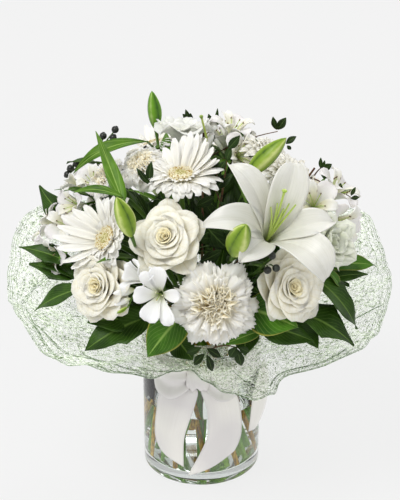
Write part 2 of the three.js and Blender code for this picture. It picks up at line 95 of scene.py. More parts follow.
def new_material(name):
    """An empty material with only its output."""
    material = bpy.data.materials.new(name)
    material.use_nodes = True
    material.node_tree.nodes.clear()
    material.node_tree.nodes.new("ShaderNodeOutputMaterial")
    return material


def show(material, kind, inputs):
    """Makes a shader and sends it to the material's output, which finishes the material."""
    output = material.node_tree.nodes["Material Output"]
    shader = node(material, kind, inputs)
    material.node_tree.links.new(shader.outputs[0], output.inputs["Surface"])
    return material


def deselect():
    """Leaves edit mode and deselects every object."""
    if bpy.context.object and bpy.context.object.mode != "OBJECT":
        bpy.ops.object.mode_set(mode="OBJECT")
    bpy.ops.object.select_all(action="DESELECT")


# The sweep is matt white board. Most of what it shows is its own even light, so that the picture's
# ground stays as flat as the photograph's, with only a faint shadow under the vase.
sweep_white = show(
    new_material("matt_white_sweep"), "BsdfPrincipled",
    {"Base Color": "525252", "Roughness": 0.9, "Emission Color": "ffffff",
     "Emission Strength": SWEEP_GLOW},
)
deselect()
bpy.ops.mesh.primitive_plane_add(size=SWEEP_SIZE)
sweep = bpy.context.object
sweep.name = "sweep"
sweep.data.materials.append(sweep_white)

world = bpy.data.worlds.new("studio")
bpy.context.scene.world = world
world.use_nodes = True
world.node_tree.nodes["Background"].inputs["Color"].default_value = linear("ffffff")
world.node_tree.nodes["Background"].inputs["Strength"].default_value = DAYLIGHT

# Square lamps face the bouquet: the key from the upper left, a faint fill, and one behind.
for name, place, size, watts in (
    ("softbox_key", (-0.9, -0.8, 2.1), 0.9, 28),
    ("softbox_fill", (1.3, -1.1, 1.2), 1.0, 3),
    ("softbox_back", (0.3, 1.3, 1.9), 1.0, 11),
):
    bpy.ops.object.light_add(type="AREA", location=place)
    lamp = bpy.context.object
    lamp.name = name
    lamp.data.size, lamp.data.energy = size, watts
    lamp.rotation_euler = (AIM - Vector(place)).to_track_quat("-Z", "Y").to_euler()

# ---- the vase ---------------------------------------------------------------------------------
# A plain cylinder of clear pressed glass with a thick foot. It is cast in one piece, its rim and
# foot are fire-polished round, and its underside is pushed up, so that it stands on a ring.
VASE_REACH, VASE_WALL, VASE_HEIGHT, VASE_FLOOR = 60, 4, 150, 12
VASE_INNER = VASE_REACH - VASE_WALL


def turned(name, profile, segments, material):
    """A solid of revolution: a disc at the first radius and height of the profile, extruded and
    resized to each of the next ones."""
    deselect()
    radius, height = profile[0]
    bpy.ops.mesh.primitive_circle_add(
        vertices=segments, radius=radius * mm, fill_type="NGON", location=(0, 0, height * mm)
    )
    made = bpy.context.object
    bpy.ops.object.transform_apply(location=True)
    bpy.ops.object.mode_set(mode="EDIT")
    bpy.ops.mesh.select_all(action="SELECT")
    for next_radius, next_height in profile[1:]:
        bpy.ops.mesh.extrude_region_move(
            TRANSFORM_OT_translate={"value": (0, 0, (next_height - height) * mm)}
        )
        share = next_radius / radius
        bpy.ops.transform.resize(
            value=(share, share, 1), center_override=(0, 0, next_height * mm)
        )
        radius, height = next_radius, next_height
    bpy.ops.mesh.select_all(action="SELECT")
    bpy.ops.mesh.normals_make_consistent(inside=False)
    bpy.ops.object.mode_set(mode="OBJECT")
    bpy.ops.object.shade_smooth_by_angle(angle=math.radians(40))
    made.name = made.data.name = name
    made.data.materials.append(material)
    return made


def rounded(corner_radius, corner_height, size, begin, steps=4):
    """Points of a quarter circle round a corner's centre, from begin degrees, anticlockwise."""
    angles = [math.radians(begin + 90 * i / steps) for i in range(steps + 1)]
    return [
        (corner_radius + size * math.cos(a), corner_height + size * math.sin(a)) for a in angles
    ]


def lit_through(finish, surface, tint):
    """Finishes a material that lamps shine through: its shadow is only a faint tint."""
    shadow = node(finish, "LightPath").outputs["Is Shadow Ray"]
    clear = node(finish, "BsdfTransparent", {"Color": tint})
    return show(finish, "MixShader", {0: shadow, 1: surface, 2: clear})


def clear_finish(name, ior, gloss, ripples, strength, depth, tint):
    """A clear, colourless finish: sharp reflections, and slow ripples, so many in a metre and so
    many metres deep, that bend what is behind it."""
    finish = new_material(name)
    place = node(finish, "TexCoord").outputs["Object"]
    ripple = node(finish, "TexNoise", {"Vector": place, "Scale": ripples, "Detail": 1})
    bump = node(finish, "Bump", {"Height": ripple, "Strength": strength, "Distance": depth})
    surface = node(
        finish, "BsdfPrincipled",
        {"Base Color": "fcfefd", "Roughness": 0, "IOR": ior, "Specular IOR Level": gloss,
         "Transmission Weight": 1, "Normal": bump},
    )
    return lit_through(finish, surface, tint)


def pick(parts):
    """Selects the given objects alone and makes the first one active."""
    deselect()
    for part in parts:
        part.select_set(True)
    bpy.context.view_layer.objects.active = parts[0]


def joined(name, parts, thickness=0, offset=0):
    """Joins parts into one. Single sheets, such as petals, get a thickness, half of it on each
    side, or with offset -1 all below, and then their upper side takes their last material."""
    pick(parts)
    if len(parts) > 1:
        bpy.ops.object.join()
    whole = bpy.context.object
    if thickness:
        bpy.ops.object.modifier_add(type="SOLIDIFY")
        wall = whole.modifiers[-1]
        wall.thickness, wall.offset = thickness * mm, offset
        if offset:
            wall.material_offset = len(whole.data.materials) - 1
        bpy.ops.object.modifier_apply(modifier=wall.name)
    whole.name = whole.data.name = name
    return whole


def finish_piece(name, parts, cad_names):
    """Joins the parts of a finished piece, which stands for its CAD nodes."""
    whole = joined(name, parts)
    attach(whole, "root")
    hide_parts(*cad_names)
    return whole


# Soda-lime glass, pressed and polished: sharp reflections, and ripples about 45 mm apart. Lamps
# reach the stems through it.
clear_glass = clear_finish("pressed_clear_glass", 1.5, 0.35, 22, 0.05, 0.002, "fafdfb")
vase = turned(
    "vase",
    [(44, 1.6), (50, 1.3), (54, 0.5), (55.5, 0.05)]
    + rounded(VASE_REACH - 2.5, 2.5, 2.5, -90)
    + rounded(VASE_REACH - 2, VASE_HEIGHT - 2, 2, 0)
    + rounded(VASE_INNER + 2, VASE_HEIGHT - 2, 2, 90)
    + rounded(VASE_INNER - 5, VASE_FLOOR + 5, 5, -90)[::-1]
    + [(10, VASE_FLOOR)],
    96, clear_glass,
)
finish_piece("glass_vase", [vase], ["vase"])

# ---- the water --------------------------------------------------------------------------------
# Fresh tap water to about half the vase. It wets the glass, so it meets the wall without a gap and
# climbs a little way up it, and it closes round the stems.
WATER_LEVEL = 78
WET = VASE_INNER + 0.1
# Still, clear water, with slight swells about 16 mm apart.
fresh_water = clear_finish("fresh_water", 1.33, 0.3, 60, 0.04, 0.001, "fbfdfc")
water = turned(
    "water",
    [(10, VASE_FLOOR - 0.1)]
    + rounded(WET - 5, VASE_FLOOR + 4.9, 5, -90)
    + [(WET, WATER_LEVEL + 1.6), (WET - 0.6, WATER_LEVEL + 0.9), (WET - 2, WATER_LEVEL + 0.2)]
    + [(WET - 5, WATER_LEVEL), (10, WATER_LEVEL)],
    96, fresh_water,
)
finish_piece("vase_water", [water], ["water"])

# ---- how the stems cross ----------------------------------------------------------------------
# The bunch is tied in a spiral: each ring of stems lies over the one inside it and leans the same
# way, so that the stems cross once, at the tie, and splay out above and below it.
TIE_HEIGHT = 148
RING_PITCH = 6.3
RING_LEAN = [0, 0.135, 0.225, 0.31, 0.33]
RING_START = [0, -132, -128, -117, -126]
RINGS = [  # from the middle out
    "sprig_top",
    "lisianthus_top lily_bud_top carnation_upper_left gerbera_top chrysanthemum_top_right"
    " alstroemeria_top",
    "gerbera_back berries_left alstroemeria_upper_left carnation_far_left lily_bud_left"
    " rose_centre sprig_centre lily chrysanthemum_right sprig_right alstroemeria_back",
    "lisianthus_back chrysanthemum_back alstroemeria_left gerbera_left rose_left freesia"
    " carnation_front berries_front rose_right lisianthus_right alstroemeria_right"
    " carnation_back rose_back",
    "foliage_back_left foliage_left_back foliage_left foliage_front_left foliage_front"
    " sprig_front foliage_front_right foliage_right_front foliage_right foliage_back_right",
]
RINGS = [names.split() for names in RINGS]
chance = random.Random(24)


def around(azimuth, reach, height):
    """A point by its azimuth in degrees, 0 in front and growing to the right, its reach from the
    vase's axis and its height."""
    a = math.radians(azimuth)
    return Vector((reach * math.sin(a), -reach * math.cos(a), height))


def facing(azimuth, elevation):
    """A direction by its azimuth and its elevation in degrees."""
    e = math.radians(elevation)
    return around(azimuth, math.cos(e), math.sin(e))


def stem_line(name, radius, top, axis, steps=16):
    """The points of a stem, from its cut end on the vase's floor, through the tie, to top, which
    it reaches along axis."""
    ring = [name in names for names in RINGS].index(True)
    azimuth = RING_START[ring] + 360 * RINGS[ring].index(name) / len(RINGS[ring])
    tie = around(azimuth, ring * RING_PITCH, TIE_HEIGHT)
    lean = RING_LEAN[ring]
    rise = around(azimuth + 90, -lean, 1)
    foot = tie + rise * (VASE_FLOOR + 0.3 + lean * radius - TIE_HEIGHT)
    pull = 0.38 * (top - tie).length
    a, b, c, d = tie, tie + rise.normalized() * pull, top - axis * pull, top
    line = [foot.lerp(tie, i / 6) for i in range(6)]
    for i in range(steps + 1):
        t = i / steps
        s = 1 - t
        line.append(a * s**3 + b * 3 * s * s * t + c * 3 * s * t * t + d * t**3)
    return line


def tapered(line, thick, loss):
    """A radius for each point of a stem that is thick at its foot and loses so much to its top."""
    return [thick - loss * i / len(line) for i in range(len(line))]


def stalk(line, radii, material, sides=8):
    """A round stalk along a line of points, with a radius for each point or one for all. It is a
    bevelled curve made a mesh."""
    curve = bpy.data.curves.new("stalk", "CURVE")
    curve.dimensions = "3D"
    curve.bevel_depth = 1
    curve.bevel_resolution = sides // 2 - 2
    curve.use_fill_caps = True
    spline = curve.splines.new("POLY")
    spline.points.add(len(line) - 1)
    for i, point in enumerate(line):
        spline.points[i].co = (*(Vector(point) * mm), 1)
        spline.points[i].radius = (radii[i] if isinstance(radii, list) else radii) * mm
    made = bpy.data.objects.new("stalk", curve)
    bpy.context.collection.objects.link(made)
    pick([made])
    bpy.ops.object.convert(target="MESH")
    made = bpy.context.object
    made.data.materials.clear()
    made.data.materials.append(material)
    made.data.shade_smooth()
    return made


def painted_shade_above_rim(finish, tone, fades_to, share, dark):
    """A stem's tone, with painted shade that darkens it above the rim, under the flowers."""
    place = node(finish, "SeparateXYZ", {"Vector": node(finish, "TexCoord").outputs["Object"]})
    up = node(finish, "MapRange", {0: place.outputs["Z"], 1: 0.15, 2: fades_to, 3: 0, 4: share})
    return node(finish, "MixRGB", {"Fac": up, "Color1": tone, "Color2": dark})


# A cut stem in its skin: smooth, waxy green with fine ribs along it, paler in patches. The ribs
# are drawn coarser than the real half millimetre, to show.
stem_green = new_material("waxy_green_stem")
place = node(stem_green, "TexCoord").outputs["Object"]
drawn_out = node(stem_green, "Mapping", {"Vector": place, "Scale": (1, 1, 0.12)})
ribs = node(stem_green, "TexNoise", {"Vector": drawn_out, "Scale": 700, "Detail": 3})
patches = node(stem_green, "TexNoise", {"Vector": place, "Scale": 28, "Detail": 3})
tone = node(
    stem_green, "ValToRGB", {"Fac": patches}, [(0.3, "5a960e"), (0.52, "8cc422"), (0.72, "c2e450")]
)
tone = node(stem_green, "MixRGB", {"Fac": ribs, "Color1": tone, "Color2": "5c8426"})
# Painted shade: above the rim the green turns a deep green, for the shade of the flowers.
tone = painted_shade_above_rim(stem_green, tone, 0.21, 0.72, "26420f")
bump = node(stem_green, "Bump", {"Height": ribs, "Strength": 0.35, "Distance": 0.0004})
show(stem_green, "BsdfPrincipled", {"Base Color": tone, "Roughness": 0.42, "Normal": bump})

# Woody stems, such as those of the foliage, have brown bark with a golden tone and a rough grain
# about 2 mm wide.
stem_bark = new_material("golden_brown_bark")
place = node(stem_bark, "TexCoord").outputs["Object"]
drawn_out = node(stem_bark, "Mapping", {"Vector": place, "Scale": (1, 1, 0.2)})
grain = node(stem_bark, "TexNoise", {"Vector": drawn_out, "Scale": 520, "Detail": 5})
tone = node(
    stem_bark, "ValToRGB", {"Fac": grain}, [(0.3, "604407"), (0.5, "bc8a0e"), (0.7, "eec844")]
)
# Painted shade: above the rim the bark turns a dark brown, for the shade of the flowers.
tone = painted_shade_above_rim(stem_bark, tone, 0.18, 0.8, "3f3010")
bump = node(stem_bark, "Bump", {"Height": grain, "Strength": 0.5, "Distance": 0.0005})
show(stem_bark, "BsdfPrincipled", {"Base Color": tone, "Roughness": 0.6, "Normal": bump})

# ---- the tie ----------------------------------------------------------------------------------
# The stems are bound with jute twine where they cross. It is laid from two strands, twisted, and
# goes round the outer ring of stems just inside the rim.
TWINE_REACH, TWINE_TURNS, TWINE_STEPS = 29.4, 22, 144
STRAND_OFF, STRAND = 0.7, 0.8


def grained_finish(name, grains, tones, roughness, detail=4, relief=None, sheen=0, painted_glow=0):
    """A plain grained finish: so many grains to a metre set its tone and, where relief gives a
    strength and a depth in metres, raise it. Where asked, it also gets a faint painted glow, an
    emission in its own tone."""
    finish = new_material(name)
    place = node(finish, "TexCoord").outputs["Object"]
    grain = node(finish, "TexNoise", {"Vector": place, "Scale": grains, "Detail": detail})
    tone = node(finish, "ValToRGB", {"Fac": grain}, tones)
    surface = {"Base Color": tone, "Roughness": roughness, "Sheen Weight": sheen}
    # painted light: a faint glow in the finish's own tone
    if painted_glow:
        surface.update({"Emission Color": tone, "Emission Strength": painted_glow})
    if relief:
        height = {"Height": grain, "Strength": relief[0], "Distance": relief[1]}
        surface["Normal"] = node(finish, "Bump", height)
    return show(finish, "BsdfPrincipled", surface)


# Jute: dull and hairy, straw-coloured, with hairs about 1 mm apart.
jute = grained_finish(
    "twisted_jute_twine", 900, [(0.3, "7d6740"), (0.55, "ab9465"), (0.75, "cdb98c")], 0.9,
    relief=(0.8, 0.0004), sheen=0.3,
)
strands = []
for half_turn in (0, math.pi):
    line = []
    for i in range(TWINE_STEPS + 1):
        a = half_turn + 2 * math.pi * TWINE_TURNS * i / TWINE_STEPS
        reach = TWINE_REACH + STRAND_OFF * math.cos(a)
        height = TIE_HEIGHT - 1.5 + STRAND_OFF * math.sin(a)
        line.append(around(360 * i / TWINE_STEPS, reach, height))
    strands.append(stalk(line, STRAND, jute, 6))
finish_piece("jute_twine_tie", strands, ["bouquet_tie"])

# ---- the web wrap -----------------------------------------------------------------------------
# Florist's web: pale green fibre laid at random in curls and bonded into a stiff open net. The
# sheet lies on the vase's rim under the flowers and flares out, ruffled, to its cut edge.
WRAP_INNER = 33
WRAP_EDGE = [
    (-180, 170, 204), (-150, 178, 214), (-119, 188, 248), (-104, 197, 228), (-89, 195, 200),
    (-74, 187, 190), (-62, 178, 180), (-50, 166, 175), (-38, 150, 170), (-27, 118, 163),
    (-18, 95, 156), (-4, 90, 150), (10, 100, 145), (22, 126, 136), (33, 127, 139),
    (42, 120, 151), (50, 160, 172), (57, 178, 176), (66, 180, 180), (77, 184, 186),
    (90, 191, 195), (103, 196, 206), (119, 194, 232), (150, 180, 214),
]  # azimuth, reach and height of the edge
ON_RIM, RIM_LEAVES = 150.9, 62  # the height of the web on the rim, and how far out it lies flat


def curve_through(rows, at, closed=False):
    """Rows of numbers on a smooth curve through the given rows, at places counted in rows."""
    n = len(rows)
    i = at.astype(int)
    t = (at - i)[:, None]
    near = [(i + k) % n if closed else np.clip(i + k, 0, n - 1) for k in (-1, 0, 1, 2)]
    a, b, c, d = (rows[k] for k in near)
    return 0.5 * (2 * b + (c - a) * t + (2 * a - 5 * b + 4 * c - d) * t**2
                  + (3 * b - a - 3 * c + d) * t**3)


edge = np.array([around(*point) for point in WRAP_EDGE], float)
edge = curve_through(edge, np.arange(720) / 720 * len(edge), closed=True)
edge_azimuth = np.unwrap(np.arctan2(edge[:, 0], -edge[:, 1]))
order = np.argsort(edge_azimuth)
edge_azimuth = edge_azimuth[order]
edge_reach = np.hypot(edge[:, 0], edge[:, 1])[order]
edge_height = edge[order, 2]


def at_edge(azimuth, values):
    """What the edge's reach or height is at an azimuth in radians."""
    return np.interp(azimuth, edge_azimuth, values, period=2 * np.pi)


def wrap_surface(x, y, lift=0.0):
    """Points of the wrap over points of its plan, and how far out each lies: 1 is the edge."""
    azimuth = np.arctan2(x, -y)
    azimuth = np.where(azimuth < edge_azimuth[0], azimuth + 2 * np.pi, azimuth)
    share = azimuth / (2 * np.pi)
    reach, widest = np.hypot(x, y), at_edge(azimuth, edge_reach)
    out = (reach - WRAP_INNER) / (widest - WRAP_INNER)
    beyond = np.clip((reach - RIM_LEAVES) / (widest - RIM_LEAVES), 0, None)
    ruffle = 5 * beyond**1.5 * np.sin(2 * np.pi * 11 * (share + 0.5))
    ruffle = ruffle + 1.6 * beyond**2 * np.sin(2 * np.pi * 29 * share + 5 * beyond)
    rise = (at_edge(azimuth, edge_height) - ON_RIM) * beyond**1.1
    return np.stack([x, y, ON_RIM + rise + ruffle + lift], -1), out


def wrap_at(azimuth, share):
    """Points of the wrap by azimuth in radians and by share of the way out to its edge."""
    reach = WRAP_INNER + (at_edge(azimuth, edge_reach) - WRAP_INNER) * share
    return wrap_surface(reach * np.sin(azimuth), -reach * np.cos(azimuth))[0]


def grid(rows, columns, place, material):
    """A sheet such as a petal, a leaf or a length of ribbon: a grid primitive whose points are put
    by place, which gets arrays of u from 0 to 1 along it and v from -1 to 1 across it."""
    key = f"grid_{rows}_{columns}"
    flat = bpy.data.meshes.get(key)
    if flat is None:
        deselect()
        bpy.ops.mesh.primitive_grid_add(x_subdivisions=columns, y_subdivisions=rows, size=2)
        flat = bpy.context.object.data
        flat.name = key
        flat.use_fake_user = True
        bpy.data.objects.remove(bpy.context.object)
    mesh = flat.copy()
    mesh.use_fake_user = False
    mesh.name = "sheet"
    at = np.empty(len(mesh.vertices) * 3)
    mesh.vertices.foreach_get("co", at)
    at = at.reshape(-1, 3)
    moved_to = place((at[:, 1] + 1) / 2, at[:, 0])
    mesh.vertices.foreach_set("co", (np.asarray(moved_to) * mm).ravel())
    mesh.shade_smooth()
    mesh.materials.append(material)
    mesh.update()
    made = bpy.data.objects.new("sheet", mesh)
    bpy.context.collection.objects.link(made)
    return made


def welded(part, gap, outwards=False):
    """Closes the seam of a grid that was rolled up, and its poles, and where asked turns its faces
    outwards. gap is in metres."""
    pick([part])
    bpy.ops.object.mode_set(mode="EDIT")
    bpy.ops.mesh.select_all(action="SELECT")
    bpy.ops.mesh.remove_doubles(threshold=gap)
    if outwards:
        bpy.ops.mesh.normals_make_consistent(inside=False)
    bpy.ops.object.mode_set(mode="OBJECT")
    return part


# The finest fibres between the strong ones are too thin to model, so they are drawn on the sheet:
# whitish curls about 3 mm across, clear between them, with grey-green specks where they cross.
# They pass light on to each other; a faint painted glow in their own tone stands in for it.
web_veil = new_material("fine_web_fibres")
place = node(web_veil, "TexCoord").outputs["Object"]
bent = node(web_veil, "TexNoise", {"Vector": place, "Scale": 150, "Detail": 1})
curled = node(
    web_veil, "MixRGB", {"Fac": 0.02, "Color1": place, "Color2": bent.outputs["Color"]}
)
cells = node(
    web_veil, "TexVoronoi", {"Vector": curled, "Scale": 360}, feature="DISTANCE_TO_EDGE"
).outputs["Distance"]
specks = node(web_veil, "TexNoise", {"Vector": curled, "Scale": 560, "Detail": 2})
tone = node(
    web_veil, "ValToRGB", {"Fac": specks},
    [(0.4, "4f6a38"), (0.45, "b4c69c"), (0.49, "f6faf0"), (0.58, "ffffff")],
)
fibre = node(web_veil, "MapRange", {"Value": cells, 1: 0.05, 2: 0.2, 3: 0.55, 4: 0})
dense = node(web_veil, "MapRange", {"Value": specks, 1: 0.42, 2: 0.52, 3: 1.2, 4: 0.8})
covers = node(web_veil, "Math", {0: fibre, 1: dense}, operation="MULTIPLY")
# The emission is painted light, a faint glow for the light the net passes on.
surface = node(
    web_veil, "BsdfPrincipled",
    {"Base Color": tone, "Roughness": 0.6, "Alpha": covers, "Emission Color": tone,
     "Emission Strength": 0.3},
)
lit_through(web_veil, surface, "eef4e6")
veil = grid(22, 220, lambda u, v: wrap_at(np.pi * v, u), web_veil)
veil = joined("web_wrap_sheet", [welded(veil, 0.0001)], 0.3)

# The strong fibres: rayon threads in curls and loops, glued where they cross. Their real 0.3 mm is
# drawn at 0.54 mm, to show. They are pale green and whiter in random spots, partly their own
# colour and partly painted highlights, and a faint painted glow stands in for the light they pass
# on. Along the cut edge they are pressed into a cord of a darker, greyer green.
THREAD_RADIUS, EDGE_RADIUS = 0.27, 0.28
web_thread = grained_finish(
    "pale_green_web_thread", 260, [(0.4, "587440"), (0.46, "c6d8b0"), (0.52, "fbfff6")], 0.45,
    detail=3, sheen=0.2, painted_glow=0.24,
)
web_edge = grained_finish(
    "grey_green_pressed_edge", 300, [(0.38, "566e4a"), (0.52, "8aa37e"), (0.66, "c8d8be")], 0.5,
    detail=3,
)


def thread_mesh(name, lines, radius, material):
    """One mesh of many three-sided threads, each along its line of points."""
    points, faces, start = [], [], 0
    for line in lines:
        along = np.gradient(line, axis=0)
        along /= np.linalg.norm(along, axis=1)[:, None] + 1e-9
        side = np.cross(along, (0, 0, 1.0))
        side /= np.linalg.norm(side, axis=1)[:, None] + 1e-9
        over = np.cross(side, along)
        n = len(line)
        for k in range(3):
            a = 2 * math.pi * k / 3 + 0.5
            points.append(line + radius * (math.cos(a) * side + math.sin(a) * over))
            low, m = start + np.arange(n - 1), (k + 1) % 3
            quads = np.stack([low + k * n, low + m * n, low + m * n + 1, low + k * n + 1], 1)
            faces += quads.tolist()
        faces.append([start, start + n, start + 2 * n])
        faces.append([start + n - 1, start + 3 * n - 1, start + 2 * n - 1])
        start += 3 * n
    mesh = bpy.data.meshes.new(name)
    mesh.from_pydata((np.concatenate(points) * mm).tolist(), [], faces)
    mesh.materials.append(material)
    mesh.update()
    made = bpy.data.objects.new(name, mesh)
    bpy.context.collection.objects.link(made)
    return made


dice = np.random.default_rng(7)
THREADS, THREAD_STEPS, THREAD_STEP = 1150, 24, 2.2
start_reach = np.sqrt(dice.uniform(40**2, 200**2, THREADS))
start_azimuth = dice.uniform(-np.pi, np.pi, THREADS)
at = np.stack([start_reach * np.sin(start_azimuth), -start_reach * np.cos(start_azimuth)], 1)
heading = dice.uniform(0, 2 * np.pi, THREADS)
bend = dice.normal(0, 0.4, THREADS)
walk = [at.copy()]
for _ in range(THREAD_STEPS):
    bend = 0.8 * bend + dice.normal(0, 0.3, THREADS)
    heading = heading + bend
    at = at + THREAD_STEP * np.stack([np.cos(heading), np.sin(heading)], 1)
    walk.append(at.copy())
lines = []
for path in np.stack(walk, 1):
    points, out = wrap_surface(path[:, 0], path[:, 1], dice.uniform(-1.0, 1.0))
    # The longest stretch of a thread that lies on the web is kept.
    stretch, best = 0, (0, 0)
    for i, inside in enumerate([*((out > 0.02) & (out < 1.0)), False]):
        if inside:
            stretch += 1
            continue
        if stretch > best[1] - best[0]:
            best = (i - stretch, i)
        stretch = 0
    if best[1] - best[0] > 4:
        lines.append(points[best[0] : best[1]])
threads = thread_mesh("threads", lines, THREAD_RADIUS, web_thread)
# A few threads run along the cut edge, where the net is pressed together.
azimuth = np.linspace(-np.pi, np.pi, 241)
lines = [
    wrap_at(azimuth, share + 0.006 * np.sin(azimuth * 41)) for share in (0.994, 0.985, 0.972, 0.94)
]
# Creases, where the net was folded, hold some threads close together.
CREASES = [
    (-72, -44, 0.9, 0.7), (-84, -26, 0.9, 0.93), (-60, -20, 0.72, 0.82), (76, 84, 0.55, 0.96),
    (36, 62, 0.9, 0.88), (20, 30, 0.4, 0.95), (-110, -86, 0.6, 0.92), (140, 170, 0.6, 0.9),
    (-170, -140, 0.85, 0.6),
]  # from one azimuth to another, and from one share of the way out to another
for first, last, begins, ends in CREASES:
    for strand in range(4):
        t = np.linspace(0, 1, 40)
        share = begins + (ends - begins) * t + 0.012 * (strand - 1.5) * np.sin(3 * t + strand)
        share = share + 0.03 * np.sin(np.pi * t) + dice.normal(0, 0.003, 40)
        lines.append(wrap_at(np.radians(first + (last - first) * t), share))
edges = thread_mesh("edge", lines, EDGE_RADIUS, web_edge)
threads = joined("web_wrap_threads", [threads, edges])
for piece in (veil, threads):
    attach(piece, "root")
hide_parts("web_wrap")

# ---- the ribbon -------------------------------------------------------------------------------
# White satin ribbon, 38 mm wide, goes round the vase below its rim, gathered, and is tied in a bow
# with two loops and long ends, cut on the slant.
SATIN_THICK = 0.5
RIBBON_REACH = VASE_REACH + 0.3 + 0.8  # clear of the glass, and outside the band
KNOT_AZIMUTH, KNOT_HEIGHT = math.radians(-3), 131

# Polyester satin, woven: long floats run along the ribbon and shine across it, and they are drawn
# 0.4 mm apart, about their real size. The colour is a warm white. Soft, uneven grey-lilac patches
# about 60 mm across are painted shade, for the shade of its folds.
satin = new_material("woven_white_satin")
place = node(satin, "TexCoord")
along = node(satin, "Mapping", {"Vector": place.outputs["UV"], "Scale": (100, 1.2, 1)})
floats = node(satin, "TexNoise", {"Vector": along, "Scale": 1, "Detail": 2})
tone = node(
    satin, "ValToRGB", {"Fac": floats}, [(0.25, "f1eee8"), (0.5, "f6f3ed"), (0.75, "faf8f3")]
)
# Painted shade: slow noise mixes in a grey-lilac, for the soft shade of folds.
cloud = node(satin, "TexNoise", {"Vector": place.outputs["Object"], "Scale": 17, "Detail": 1})
shade = node(satin, "MapRange", {"Value": cloud, 1: 0.42, 2: 0.62, 3: 0, 4: 0.75})
shaded = node(satin, "MixRGB", {"Fac": shade, "Color1": tone, "Color2": "e0dcdc"})
shine = node(satin, "MapRange", {"Value": floats, 3: 0.16, 4: 0.22})
bump = node(satin, "Bump", {"Height": floats, "Strength": 0.04, "Distance": 0.0001})
show(
    satin, "BsdfPrincipled",
    {"Base Color": shaded, "Roughness": shine, "Specular IOR Level": 0.9, "Sheen Weight": 0.15,
     "Sheen Roughness": 0.4, "Normal": bump},
)


def upright(azimuth, reach, height):
    """around for arrays, with the azimuth in radians."""
    return np.stack([reach * np.sin(azimuth), -reach * np.cos(azimuth), height], -1)


def band_place(u, v):
    """The band: soft pleats run round it, where the ribbon is gathered at the knot."""
    near_knot = np.exp(-((np.minimum(u, 1 - u) / 0.07) ** 2))
    pleat = 0.28 + 0.28 * np.sin(v * 9 + 3 * np.sin(4 * np.pi * u))
    bulge = 0.9 * near_knot * (0.5 + 0.5 * np.cos(v * 14))
    return upright(
        KNOT_AZIMUTH + 2 * np.pi * u, VASE_REACH + 0.45 + pleat + bulge,
        KNOT_HEIGHT + v * (15 - 4 * near_knot),
    )


def knot_place(u, v):
    """The knot is one turn of ribbon pulled tight over the crossing: a pinched roll with deep
    pleats, not a ball."""
    turn_angle = 2 * np.pi * u
    reach = 5 * (1 - 0.18 * np.cos(np.pi * v) ** 2) + 0.5 * np.cos(v * 11 + 2 * np.sin(turn_angle))
    across = 11.0 * v * (1 - 0.08 * np.cos(turn_angle))
    return upright(
        KNOT_AZIMUTH + across / RIBBON_REACH,
        RIBBON_REACH + 0.3 + 5.3 + reach * 0.95 * np.cos(turn_angle),
        KNOT_HEIGHT + 2.45 * reach * np.sin(turn_angle) * np.sqrt(1 - 0.6 * v**6),
    )


def loop_place(side, length, belly, lower, upper):
    """A loop: out along its outer layer and back along its inner one, plump in the middle, with
    pleats that fan out from the knot. lower and upper are its edges' heights on the way out."""

    def place(u, v):
        turn_angle = 2 * np.pi * u
        out = (1 - np.cos(turn_angle)) / 2
        distance = 8 + (length - 8) * out
        outer = np.sin(turn_angle)
        clear = 4.6 + belly * outer * np.sin(np.pi * np.clip(out, 0, 1)) ** 0.6
        low = np.interp(out, np.linspace(0, 1, len(lower)), lower)
        high = np.interp(out, np.linspace(0, 1, len(upper)), upper)
        fold = (1 - out) * 1.8 * np.cos(v * 7 + side) + 1.1 * np.cos(v * 4 + 2 + 3 * out) * out
        fold = fold + 1.6 * np.exp(-(((out - 0.32) / 0.12) ** 2)) * np.clip(outer, 0, 1)
        hem = 5.5 * np.clip(-v - 0.25, 0, 1) ** 1.4 * np.clip(outer, 0, 1)
        clear = np.maximum(0.9, clear + fold + hem + 0.9 * np.cos(turn_angle / 2))
        return upright(
            KNOT_AZIMUTH + side * distance / RIBBON_REACH, RIBBON_REACH + clear,
            (low + high) / 2 + v * (high - low) / 2,
        )

    return place


def tail_place(sway, *rows):
    """A tail hangs down the glass. Each row, from the knot to the slanting cut, gives the azimuth
    and height of its left edge, the same of its right edge, and the reach."""
    rows = np.array(rows, float)
    last = len(rows) - 1

    def place(u, v):
        here = curve_through(rows, np.clip(u * last, 0, last - 1e-9))
        right = (v + 1) / 2
        azimuth = np.radians(here[:, 0] * (1 - right) + here[:, 2] * right)
        height = here[:, 1] * (1 - right) + here[:, 3] * right
        fold = sway * np.sin(2.6 * v + 2.2 * u) * (0.5 + 0.6 * u)
        fold = fold + 1.2 * np.clip(1 - u / 0.25, 0, 1) * np.cos(8 * v)
        return upright(azimuth, here[:, 4] + fold, height)

    return place


